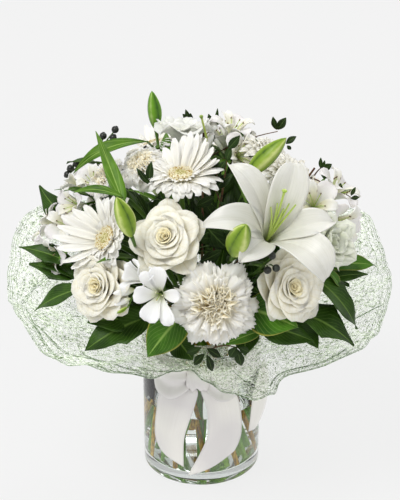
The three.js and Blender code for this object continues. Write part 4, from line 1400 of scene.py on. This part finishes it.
def closed_bud(length, width, finish, rows=9, columns=12):
    """A bud, upright on the origin: a grid rolled into a closed spindle with three soft ribs."""

    def place(u, v):
        angle = np.pi * v
        body = np.sin(np.pi * u**0.92) ** 0.72 * (1 + 0.08 * np.cos(3 * angle) * np.sin(np.pi * u))
        r = np.where((u < 0.001) | (u > 0.999), 0, width / 2 * body)
        return np.stack([r * np.cos(angle), r * np.sin(angle), u * length], -1)

    return welded(grid(rows, columns, place, finish), 0.00004, outwards=True)


def twig(points, radii):
    """A thin green twig."""
    return stalk(points, radii, stem_green, 6)


for name, (top, axis, lily_buds, lily_leaves) in LILY_STEMS.items():
    line = stem_line(name, 2.9, top, axis)
    parts = [stalk(line, tapered(line, 3.0, 0.5), stem_green)]
    joint = top - axis * 8
    for base, tip, width in lily_buds:
        base, tip = Vector(base), Vector(tip)
        along = (tip - base).normalized()
        bend = base - along * 9
        parts.append(
            twig([joint, joint.lerp(bend, 0.5), bend, base + along], [1.7, 1.5, 1.5, 2.2])
        )
        finish = young_bud if name == "lily_bud_top" else bud_green
        bud = closed_bud((tip - base).length, width, finish, 14, 24)
        parts.append(stand(bud, base, along, chance.uniform(0, 90)))
    long_leaves = [
        leaf(base, tip, width, fat=fat, arch=arch, fold=0.35, wave=0, shows=(0, -0.5, 1))
        for base, tip, width, arch, fat in lily_leaves
    ]
    for base, *_ in lily_leaves:
        parts.append(twig([joint, Vector(base) * 0.5 + joint * 0.5, Vector(base)], 1.1))
    for k in (11, 13, 15, 17, 19):
        out = (line[k] - Vector((0, 0, 200))).normalized()
        flat = azimuth_of(out) + chance.uniform(-70, 70)
        tip = line[k] + facing(flat, chance.uniform(15, 50)) * 62
        long_leaves.append(leaf(line[k], tip, 13, fat=0.4, arch=0.1, fold=0.35, wave=0))
    parts.append(leaves(long_leaves, lily_leaf, rows=14))
    cad_name = "lily_stem_with_buds" if name == "lily" else name
    finish_piece(name + "_green_stem", parts, [cad_name])

# ---- the alstroemerias ------------------------------------------------------------------------
# Alstroemeria sprays, white: each has two or three open florets of three broad outer petals and
# three narrow inner ones, flecked brown over a yellow throat, with curved stamens, and a bud.
ALSTROEMERIAS = {
    "alstroemeria_left": ((-156, 2, 262), (-62, 28), 3, 1.05),
    "alstroemeria_upper_left": ((-131, 11, 314), (-72, 45), 3, 0.9),
    "alstroemeria_right": ((134, -22, 306), (45, 36), 3, 1.15),
    "alstroemeria_top": ((40, 36, 354), (40, 60), 2, 1.05),
    "alstroemeria_back": ((35, 90, 337), (160, 50), 3, 0.95),
}  # the middle of the face, where it faces, how many florets, and their size
ALSTROEMERIA_DEPTH = 40


def flecks(finish, tone):
    """Short brown dashes along the lower part of a petal."""
    place = node(finish, "TexCoord").outputs["UV"]
    drawn_out = node(finish, "Mapping", {"Vector": place, "Scale": (9, 4, 1)})
    dashes = {"Vector": drawn_out, "Scale": 1, "Randomness": 0.7}
    dashes = node(finish, "TexVoronoi", dashes).outputs["Distance"]
    dark = node(finish, "MapRange", {"Value": dashes, 1: 0.14, 2: 0.22, 3: 0.9, 4: 0})
    along = node(finish, "SeparateXYZ", {"Vector": place}).outputs["Y"]
    low = node(finish, "MapRange", {"Value": along, 1: 0.82, 2: 0.7, 3: 0, 4: 1})
    share = node(finish, "Math", {0: dark, 1: low}, operation="MULTIPLY")
    return node(finish, "MixRGB", {"Fac": share, "Color1": tone, "Color2": "6d3b2c"})


# Silky white petals. The inner ones are yellow low down, with the flecks. The anthers are dusty.
alstroemeria_white = petal_finish(
    "silky_white_alstroemeria", "dfe6b6", "f6f6f0", "f3ecea", "e8e6e2"
)
alstroemeria_flecked = petal_finish(
    "flecked_alstroemeria", "cfd683", "f4efca", "f6f4ee", "e6e2c8", marks=flecks
)
anther_brown = petal_finish("dusty_brown_anther", "4a3828", "655038", "84704e", "4a3a28", 0.8, 0)


def moved(part, matrix):
    """Moves a part's mesh by a matrix."""
    part.data.transform(matrix)
    return part


def own_place(base, tilt, turn_by):
    """The matrix of a floret in its flower's frame: its foot, how far it leans, and where to."""
    return (
        Matrix.Translation(Vector(base) * mm)
        @ Matrix.Rotation(math.radians(turn_by), 4, "Z")
        @ Matrix.Rotation(math.radians(tilt), 4, "Y")
        @ Matrix.Rotation(math.radians(chance.uniform(0, 120)), 4, "Z")
    )


def stamens(count, lean, height, radius, finish, anther, size):
    """Filaments that rise from the throat and curve out, each with its anther."""
    made = []
    for i in range(count):
        a = 2 * math.pi * i / count + chance.uniform(-0.3, 0.3)
        line = []
        for k in range(6):
            out = lean * (k / 5) ** 2
            line.append(Vector((out * math.cos(a), out * math.sin(a), 4 + (height - 4) * k / 5)))
        made.append(stalk(line, radius, finish, 4))
        knob = closed_bud(size * 2, size, anther, 4, 6)
        made.append(moved(knob, Matrix.Translation((line[-1] - Vector((0, 0, size))) * mm)))
    return made


for name, (at, faces, count, size) in ALSTROEMERIAS.items():
    base, axis = seat(at, faces, ALSTROEMERIA_DEPTH)
    parts = []
    turn_by = chance.uniform(0, 360)
    for i in range(count):
        a = math.radians(turn_by)
        here = own_place((9 * math.cos(a), 9 * math.sin(a), 9), 34 if count > 2 else 26, turn_by)
        here = here @ Matrix.Scale(size, 4)
        turn_by += 360 / count
        outer, inner = [], []
        for k in range(3):
            place = petal(
                1.5, 23, 25, 5, 19, 120 * k, fat=0.66, wave=0.6, foot=0.14, end=0.16, blunt=0.75
            )
            outer.append(grid(8, 6, place, alstroemeria_white))
        for k in range(3):
            place = petal(1.5, 20, 29, 5, 11, 120 * k + 60, fat=0.68, cup=0.5, foot=0.2, end=0.08)
            inner.append(grid(8, 6, place, alstroemeria_flecked))
        floret_parts = [blades(outer, 0.4), blades(inner, 0.4)]
        floret_parts += stamens(6, 9, 24, 0.4, lily_filament, anther_brown, 1.5)
        parts += [moved(part, here) for part in floret_parts]
        start, foot = Vector((0, 0, 0)), here.translation / mm
        parts.append(twig([start, foot * 0.5 + Vector((0, 0, 1)), foot], [1.2, 1.2, 2.0]))
    spare = own_place((0, 0, 6), 62, turn_by + 60) @ Matrix.Scale(size, 4)
    parts.append(moved(closed_bud(22, 9, alstroemeria_white), spare))
    parts = [stand(part, base, axis) for part in parts]
    whorl = []
    for a in (-100, -35, 40, 110):
        way = facing(faces[0] + a + chance.uniform(-25, 25), chance.uniform(-5, 35))
        whorl.append(leaf(base - axis * 4, base + way * 44, 11, fat=0.4, arch=0.12))
    green = leafy_stem(name, 1.9, base + axis, axis, rose_leaf, 4, 50, 20, 0.35, 0.85)
    finish_flower(name, parts, [*green, leaves(whorl, lily_leaf)])

# ---- the lisianthus ---------------------------------------------------------------------------
# Lisianthus: ruffled double cups, white with green low down and at the rims, round a green pistil.
# Each spray has one open flower and one bud, still rolled up.
LISIANTHUS = {
    "lisianthus_top": ((-16, 46, 358), (180, 75), 1.12, "f6f5ef"),
    "lisianthus_right": ((130, -62, 285), (52, 32), 1.0, "eef2dc"),
    "lisianthus_back": ((-54, 140, 264), (-160, 22), 1.1, "f4f4ea"),
}  # the middle of the face, where it faces, its size, and the colour of its rims
LISIANTHUS_DEPTH = 36
# Each ring of petals: how many, their reach, rise, width and drop.
LISIANTHUS_RINGS = [(5, 24, 34, 34, 5), (5, 19, 35, 30, 2), (5, 12, 34, 24, 0), (4, 6, 31, 18, 0)]
PISTIL = [(2, 4), (3.2, 8), (2.4, 14), (1.5, 18), (2.8, 20), (2.4, 21.5), (0.8, 21.8)]
# The pistil: smooth and waxy, with a low gloss, yellow-green.
pistil_green = petal_finish("waxy_green_pistil", "7f9a36", "98b04a", "c9cf6a", "6f8a30", 0.4, 0)
for name, (at, faces, size, tip) in LISIANTHUS.items():
    base, axis = seat(at, faces, LISIANTHUS_DEPTH)
    # Satiny petals that are green at the foot.
    green_white = petal_finish("satiny_" + name + "_petal", "bccf86", "f1f3e0", tip, "dfe6c8", 0.45)
    cups = []
    for count, reach, rise, wide, drop in LISIANTHUS_RINGS:
        turn_by = chance.uniform(0, 72)
        for i in range(count):
            cup = petal(
                3, reach * size, rise * chance.uniform(0.95, 1.03), drop, wide * size,
                turn_by + 360 * i / count + chance.uniform(-6, 6), fat=0.74, cup=0.55, wave=2.4,
                end=0.5, blunt=0.6,
            )
            cups.append(grid(9, 8, cup, green_white))
    sepals = [petal(3.4, 7, 18, 0, 2.4, 72 * i, fat=0.3, end=0.05) for i in range(5)]
    parts = [
        blades(cups, 0.4),
        turned("pistil", PISTIL, 8, pistil_green),
        turned("calyx", [(1.8, -1), (3.6, 0.5), (4.6, 4), (3.6, 6)], 10, stem_green),
        leaves(sepals, rose_leaf, rows=5),
    ]
    bud = closed_bud(34 * size, 13 * size, green_white, 12, 14)
    parts.append(moved(bud, own_place((4, 0, 0), 44, chance.uniform(0, 360))))
    parts = [stand(part, base, axis) for part in parts]
    if name == "lisianthus_top":  # one more flower has dropped its petals, and its pistil is left
        bare = [Vector(point) for point in ((2, 24, 326), (5, 14, 358), (0, 16, 379))]
        parts.append(stalk(bare, [1.3, 1.2, 1.0], pistil_green, 6))
        knob = turned("knob", [(1, -1.5), (1.8, 0), (2, 1.4), (1.2, 2.2)], 8, pistil_green)
        parts.append(stand(knob, bare[-1], (bare[-1] - bare[-2]).normalized()))
    green = leafy_stem(name, 2, base + axis, axis, rose_leaf, 6, 44, 22, 0.4, 0.97)
    finish_flower(name, parts, green)

# ---- the chrysanthemums -----------------------------------------------------------------------
# Spray chrysanthemums, white: about a hundred narrow petals in rings that stand up more and more
# towards a tight greenish heart.
CHRYSANTHEMUMS = {
    "chrysanthemum_top_right": ((70, 22, 349), (90, 62), 52),
    "chrysanthemum_right": ((87, -15, 342), (60, 55), 54),
    "chrysanthemum_back": ((-107, 97, 271), (-131, 25), 56),
}
CHRYSANTHEMUM_DEPTH = 24
# Each ring of petals: how many, their length as a share, rise, drop and width.
CHRYSANTHEMUM_RINGS = [
    (18, 1.0, 9, 5, 7.5), (18, 0.95, 13, 3, 7.2), (16, 0.82, 17, 1, 6.6), (15, 0.66, 20, 0, 6.0),
    (13, 0.48, 22, 0, 5.2), (10, 0.3, 23, 0, 4.4), (6, 0.12, 22, 0, 3.6),
]
# Crisp, smooth petals, cream and greenish at the foot.
chrysanthemum_white = petal_finish(
    "crisp_cream_chrysanthemum", "d5d494", "efecda", "f3f0e3", "dedaca"
)
for name, (at, faces, across) in CHRYSANTHEMUMS.items():
    base, axis = seat(at, faces, CHRYSANTHEMUM_DEPTH)
    straps = []
    for count, share, rise, drop, wide in CHRYSANTHEMUM_RINGS:
        turn_by = chance.uniform(0, 40)
        for i in range(count):
            strap = petal(
                2, share * (across / 2) * chance.uniform(0.92, 1.05),
                rise + chance.uniform(-1.5, 1.5), drop + chance.uniform(-1, 1.5), wide,
                turn_by + 360 * i / count + chance.uniform(-5, 5), fat=0.66, cup=0.5, foot=0.4,
                end=0.35, blunt=0.6, twist=chance.uniform(-0.3, 0.3),
            )
            straps.append(grid(6, 4, strap, chrysanthemum_white))
    cup = turned("cup", [(2.2, -1), (5, 0.5), (8, 3), (9, 6), (2, 6.5)], 12, stem_green)
    parts = [stand(part, base, axis) for part in (blades(straps, 0.4), cup)]
    green = leafy_stem(name, 2.2, base + axis, axis, rose_leaf, 6, 46, 24, 0.4, 0.97)
    finish_flower(name, parts, green)

# ---- the freesia ------------------------------------------------------------------------------
# A freesia spray in front: funnel florets of six round petals along an arching stalk, two of them
# open, and smaller green-tipped buds beyond them.
FREESIA_AT, FREESIA_FACES, FREESIA_DEPTH = (-43, -143, 271), (-15, 25), 32
# Each floret: its foot, the way it faces, and its petals by their tips and widths. The first looks
# at the front, and the second is seen from its side.
FREESIA_FLORETS = [
    ((-37, -122, 262), (-8, 20), [
        ((-40, -140, 299), 18), ((-62, -150, 277), 17), ((-50, -160, 253), 19),
        ((-28, -160, 249), 14), ((-20, -150, 275), 13), ((-54, -140, 294), 12),
    ]),
    ((-37, -118, 269), (-62, 30), [
        ((-57, -134, 299), 18), ((-71, -132, 289), 15), ((-72, -142, 276), 13),
        ((-55, -148, 275), 15), ((-43, -142, 293), 14), ((-67, -124, 295), 12),
    ]),
]
# Each bud: its foot, the way it points, and its length.
FREESIA_BUDS = [
    ((-62, -116, 262), (-60, 5), 24), ((-66, -122, 256), (-66, -12), 18),
    ((-69, -128, 250), (-70, -25), 12),
]
FREESIA_ARCH = [(-56, -112, 262), (-62, -116, 260), (-66, -122, 254), (-69, -128, 249)]
# Smooth, firm white petals with a green foot.
freesia_white = petal_finish(
    "smooth_white_freesia", "d6dd9a", "f5f5ee", "f8f8f7", "e9eae6", 0.4
)
base, spray_axis = seat(FREESIA_AT, FREESIA_FACES, FREESIA_DEPTH)
parts = []
for foot, faces, petals in FREESIA_FLORETS:
    foot, axis = Vector(foot), facing(*faces)
    funnel = []
    for k, (tip, width) in enumerate(petals):
        azimuth, reach, along = own_frame(foot, axis, tip)
        rise = max(along + 3, 26)
        place = petal(
            1.4 + 0.4 * (k % 2), reach, rise, rise - along, width, azimuth, fat=0.76, wave=0.4,
            foot=0.2, end=0.3, blunt=0.75,
        )
        funnel.append(grid(10, 7, place, freesia_white))
    made = [blades(funnel, 0.45)]
    made += stamens(3, 4, 22, 0.4, lily_filament, floret_cream, 1.3)
    made.append(turned("cup", [(1.2, -3), (2.4, -1), (2.6, 4), (1.6, 5)], 8, stem_green))
    parts += [stand(part, foot, axis) for part in made]
    parts.append(twig([foot - axis * 3, base + spray_axis * 2], 1.4))
for foot, faces, length in FREESIA_BUDS:
    bud = closed_bud(length, length * 0.34, freesia_white if length > 12 else bud_green)
    parts.append(stand(bud, foot, facing(*faces)))
parts.append(twig([base, *FREESIA_ARCH], [1.7, 1.5, 1.3, 1.1, 0.9]))
parts += leafy_stem("freesia", 1.8, base + spray_axis, spray_axis, lily_leaf, 3, 50, 12, 0.4, 0.9)
finish_piece("freesia_spray", parts, ["freesia"])

# ---- the foliage ------------------------------------------------------------------------------
# Branches of evergreen foliage close the bunch below: thick, glossy dark leaves with pale veins,
# some with shoulders, on brown bark, and more of them inside, between the stems.
FOLIAGE = {
    "foliage_left_back": (
        (-112, 52, 236),
        [((-133, 36, 256), (-164, 60, 284), 32, "lobed"),
         ((-115, 34, 272), (-141, 30, 281), 10, "young"), ((-112, 50, 238), (-160, 80, 250), 30)],
    ),
    "foliage_left": (
        (-117, -4, 208),
        [((-112, -78, 242), (-162, -75, 214), 24), ((-132, -14, 236), (-182, 2, 244), 22, "lobed"),
         ((-130, -20, 222), (-172, 0, 226), 22, "lobed")],
    ),
    "foliage_front_left": (
        (-66, -64, 193),
        [((-56, -102, 222), (-111, -118, 196), 46, "lobed"),
         ((-66, -98, 218), (-108, -108, 222), 30)],
    ),
    "foliage_front": (
        (-24, -62, 190),
        [((-14, -119, 242), (-51, -131, 197), 38, "young"),
         ((-24, -100, 200), (-8, -118, 186), 26)],
    ),
    "foliage_front_right": (
        (38, -66, 196),
        [((40, -112, 240), (91, -124, 225), 48, "young"),
         ((57, -126, 224), (20, -133, 212), 12, "young"), ((52, -106, 220), (107, -112, 203), 30),
         ((40, -90, 205), (42, -120, 192), 28)],
    ),
    "foliage_right_front": (
        (82, -58, 194),
        [((98, -97, 224), (146, -105, 194), 46, "lobed"),
         ((112, -78, 250), (150, -82, 199), 38, "lobed"), ((84, -80, 206), (112, -104, 190), 30)],
    ),
    "foliage_right": (
        (116, -8, 214),
        [((122, -44, 248), (170, -30, 241), 20, "young"), ((124, -48, 236), (163, -36, 234), 12),
         ((119, -66, 255), (134, -68, 236), 15, "young")],
    ),
    "foliage_back_right": (
        (66, 88, 212),
        [((72, 92, 214), (112, 112, 240), 42, "lobed"), ((64, 94, 214), (44, 150, 230), 38)],
    ),
    "foliage_back_left": (
        (-62, 92, 212),
        [((-58, 98, 214), (-20, 152, 222), 42, "lobed"), ((-66, 94, 214), (-100, 122, 240), 38)],
    ),
}  # the end of the branch, and each big leaf by its foot, its tip, its width and its kind
# Thick dark evergreen leaves: glossy, deep green, with a clear pale midrib. Younger leaves are a
# fresher green with a yellow margin.
evergreen = leaf_finish("glossy_dark_evergreen_leaf", "1e3809", "3c5f1a", "66853a", 0.36)
young_evergreen = leaf_finish(
    "glossy_bright_young_leaf", "2a500e", "4a7a1e", "86a850", 0.38, edge="a9a548"
)
evergreen_under = leaf_finish("satin_green_leaf_underside", "34501f", "547034", "88a060", 0.5)


def branch(name, radius, top):
    """The top, axis and line of a branch that grows straight on from the tie."""
    top = Vector(top)
    axis = (top - Vector((0, 0, TIE_HEIGHT))).normalized()
    return top, axis, stem_line(name, radius, top, axis)


for name, (top, tips) in FOLIAGE.items():
    top, axis, line = branch(name, 2.4, top)
    root = top - axis * 2
    main, young = [], []
    parts = [stalk(line, tapered(line, 2.6, 1.0), stem_bark)]
    for foot, tip, width, *kind in tips:
        outward = Vector((tip[0], tip[1], 0)).normalized() + Vector((0, 0, 0.8))
        place = leaf(
            foot, tip, width, fat=0.4, arch=0.08, fold=0.2, lobe=0.9 * ("lobed" in kind),
            roll=chance.uniform(-0.2, 0.2), shows=outward,
        )
        (young if "young" in kind else main).append(place)
        foot = Vector(foot)
        parts.append(twig([root, root.lerp(foot, 0.6) - axis * 3, foot], [1.2, 1.0, 0.8]))
    # More leaves on the same twig: shorter ones beside the main two, and some back along it.
    for k in range(5):
        spot = line[-2 - 2 * k]
        out = Vector((spot.x, spot.y, 0)).normalized()
        flat = azimuth_of(out) + chance.uniform(-65, 65)
        tip = spot + facing(flat, chance.uniform(5, 55)) * chance.uniform(42, 62)
        main.append(
            leaf(spot, tip, chance.uniform(26, 36), fold=0.25, lobe=chance.choice([0, 0.5]),
                 roll=chance.uniform(-0.5, 0.5))
        )
    parts.append(leaves(main, evergreen, evergreen_under, rows=18, columns=8))
    if young:
        parts.append(leaves(young, young_evergreen, evergreen_under, rows=14, columns=6))
    finish_piece(name + "_branch", parts, [name])

# ---- the sprigs -------------------------------------------------------------------------------
# Fine sprigs fill the gaps: small oval leaves in pairs, dark and leathery, on red-brown twigs. Each
# sprig is cut with a short fork of twigs, and its stem is bound in with those of the flowers.
SPRIGS = {
    "sprig_top": (
        (2, 66, 340),
        [((0, 64, 332), (-12, 80, 345)), ((2, 66, 334), (13, 78, 341)),
         ((2, 60, 312), (76, 60, 344)), ((2, 60, 305), (82, 48, 333)),
         ((2, 50, 315), (-48, -52, 338)), ((2, 60, 322), (3, 40, 341))],
        [((-13, 80, 346), (-19, 80, 354), 5), ((-12, 80, 346), (-16, 80, 359), 4.5),
         ((-11, 80, 345), (-11, 80, 355), 4.5), ((-10, 80, 345), (-5, 80, 348), 4),
         ((12, 78, 341), (7, 78, 355), 6), ((13, 78, 342), (16, 78, 361), 3.5),
         ((13, 78, 342), (22, 78, 348), 3), ((4, 40, 342), (13, 40, 349), 8),
         ((75, 60, 346), (71, 60, 360), 6), ((76, 60, 346), (84, 60, 359), 8),
         ((49, 60, 342), (48, 60, 347), 3), ((84, 48, 336), (94, 48, 344), 6),
         ((85, 48, 334), (89, 48, 330), 3.5), ((-49, -52, 340), (-61, -52, 357), 5.5),
         ((-49, -52, 342), (-47, -52, 364), 7.5), ((-48, -52, 339), (-52, -52, 348), 5),
         ((-48, -52, 340), (-41, -52, 344), 5)],
    ),
    "sprig_right": (
        (112, 30, 318),
        [((112, 30, 310), (118, 20, 323)), ((112, 30, 306), (133, 2, 302)),
         ((112, 30, 300), (146, -5, 303))],
        [((117, 20, 323), (117, 20, 334), 3.5), ((118, 20, 323), (121, 20, 331), 3),
         ((119, 20, 322), (128, 20, 327), 6.5), ((118, 20, 315), (125, 20, 313), 5),
         ((133, 2, 302), (136, 2, 315), 7), ((146, -5, 302), (154, -5, 303), 4),
         ((146, -5, 305), (150, -5, 314), 3.5)],
    ),
    "sprig_centre": (
        (22, -44, 345),
        [((22, -44, 343), (25, -44, 373)), ((20, -44, 330), (14, -44, 347)),
         ((18, -46, 318), (13, -46, 331))],
        [((25, -44, 373), (36, -44, 387), 8), ((24, -44, 360), (28, -44, 375), 7),
         ((14, -44, 347), (23, -44, 361), 7.5), ((13, -44, 331), (30, -44, 347), 11),
         ((11, -44, 341), (5, -44, 351), 7), ((18, -48, 320), (27, -60, 308), 7),
         ((1, -62, 305), (26, -66, 278), 20), ((-2, -88, 276), (19, -88, 288), 11),
         ((-5, -56, 319), (12, -56, 329), 10), ((15, -44, 298), (2, -44, 319), 12),
         ((20, -60, 296), (38, -76, 300), 16), ((8, -70, 292), (-2, -84, 300), 11)],
    ),
    "sprig_front": (
        (14, -104, 192),
        [((14, -104, 192), (5, -130, 199)), ((14, -104, 192), (34, -127, 205))],
        [((0, -130, 207), (-14, -130, 201), 6.5), ((3, -130, 200), (-7, -130, 188), 7.5),
         ((5, -130, 199), (10, -130, 181), 7), ((5, -130, 206), (18, -130, 196), 7),
         ((33, -128, 207), (27, -128, 195), 9), ((34, -128, 204), (38, -128, 186), 9),
         ((35, -128, 206), (45, -128, 201), 7)],
    ),
}  # the end of the stem, the twigs on it, and each leaf by its foot, its tip and its width
# Sprig leaves: dark and leathery, with a low gloss and a paler rib.
sprig_leaf = leaf_finish("leathery_sprig_leaf", "142409", "2c4418", "4c6430", 0.42, 4)
# Young twigs: thin bark, red-brown with a green tinge, and a grain about 2 mm long.
twig_red = grained_finish(
    "red_brown_twig", 420, [(0.35, "3a2214"), (0.5, "6e452c"), (0.68, "5a5a2c")], 0.5,
    relief=(0.4, 0.0004),
)
for name, (top, twigs, tips) in SPRIGS.items():
    top, axis, line = branch(name, 1.5, top)
    parts = [stalk(line, tapered(line, 1.7, 0.6), twig_red, 6)]
    for start, end in twigs:
        start, end = Vector(start), Vector(end)
        sag = Vector((0, 0, 0.06 * (end - start).length))
        parts.append(stalk(bowed(start, end, sag), [0.8 - 0.06 * k for k in range(7)], twig_red, 6))
    small = [
        leaf(foot, tip, width, fat=0.52, arch=0.08, fold=0.2, wave=0,
             roll=chance.uniform(-0.4, 0.4), shows=(0, -1, 0.5))
        for foot, tip, width in tips
    ]
    parts.append(leaves(small, sprig_leaf, evergreen_under, rows=6))
    finish_piece(name + "_twigs", parts, [name])

# ---- the berries ------------------------------------------------------------------------------
# Ripe evergreen berries, nearly black with a bloom of wax, each on its own stalk with the dried
# star of its flower at the end.
BERRIES = {
    "berries_left": (
        (-100, 52, 324),
        [(-86, 60, 346), (-98, 58, 340), (-88, 56, 339), (-131, 48, 309), (-125, 50, 313),
         (-134, 46, 303)],
    ),
    "berries_front": ((60, -98, 280), [(65, -126, 303), (61, -128, 289), (69, -126, 290)]),
}  # the end of the twig, and the middle of each berry
BERRY = [
    (0.4, -3.8), (1.9, -3.3), (3.3, -1.9), (3.8, 0), (3.3, 1.9), (1.9, 3.2), (1.2, 3.3),
    (1.4, 3.9), (0.5, 3.6),
]
# Wax lies on the black skin in a greyish bloom, duller where it is thick.
berry_black = new_material("waxy_black_berry")
place = node(berry_black, "TexCoord").outputs["Object"]
wax = node(berry_black, "TexNoise", {"Vector": place, "Scale": 260, "Detail": 4})
tone = node(
    berry_black, "ValToRGB", {"Fac": wax}, [(0.35, "12140f"), (0.55, "20251d"), (0.75, "4a5348")]
)
gloss = node(berry_black, "MapRange", {"Value": wax, 3: 0.22, 4: 0.5})
show(berry_black, "BsdfPrincipled", {"Base Color": tone, "Roughness": gloss})
for name, (top, spots) in BERRIES.items():
    top, axis, line = branch(name, 1.6, top)
    parts = [twig(line, 1.6)]
    for spot in spots:
        spot = Vector(spot)
        out = (spot - top).normalized()
        parts.append(twig([top - axis, top.lerp(spot, 0.5) + axis * 2, spot - out * 3], 0.75))
        parts.append(stand(turned("berry", BERRY, 12, berry_black), spot, out))
    parts.append(leaves(stem_leaves(line, 5, 46, 28, 0.4, 0.95), evergreen, evergreen_under))
    finish_piece(name + "_twig", parts, [name])
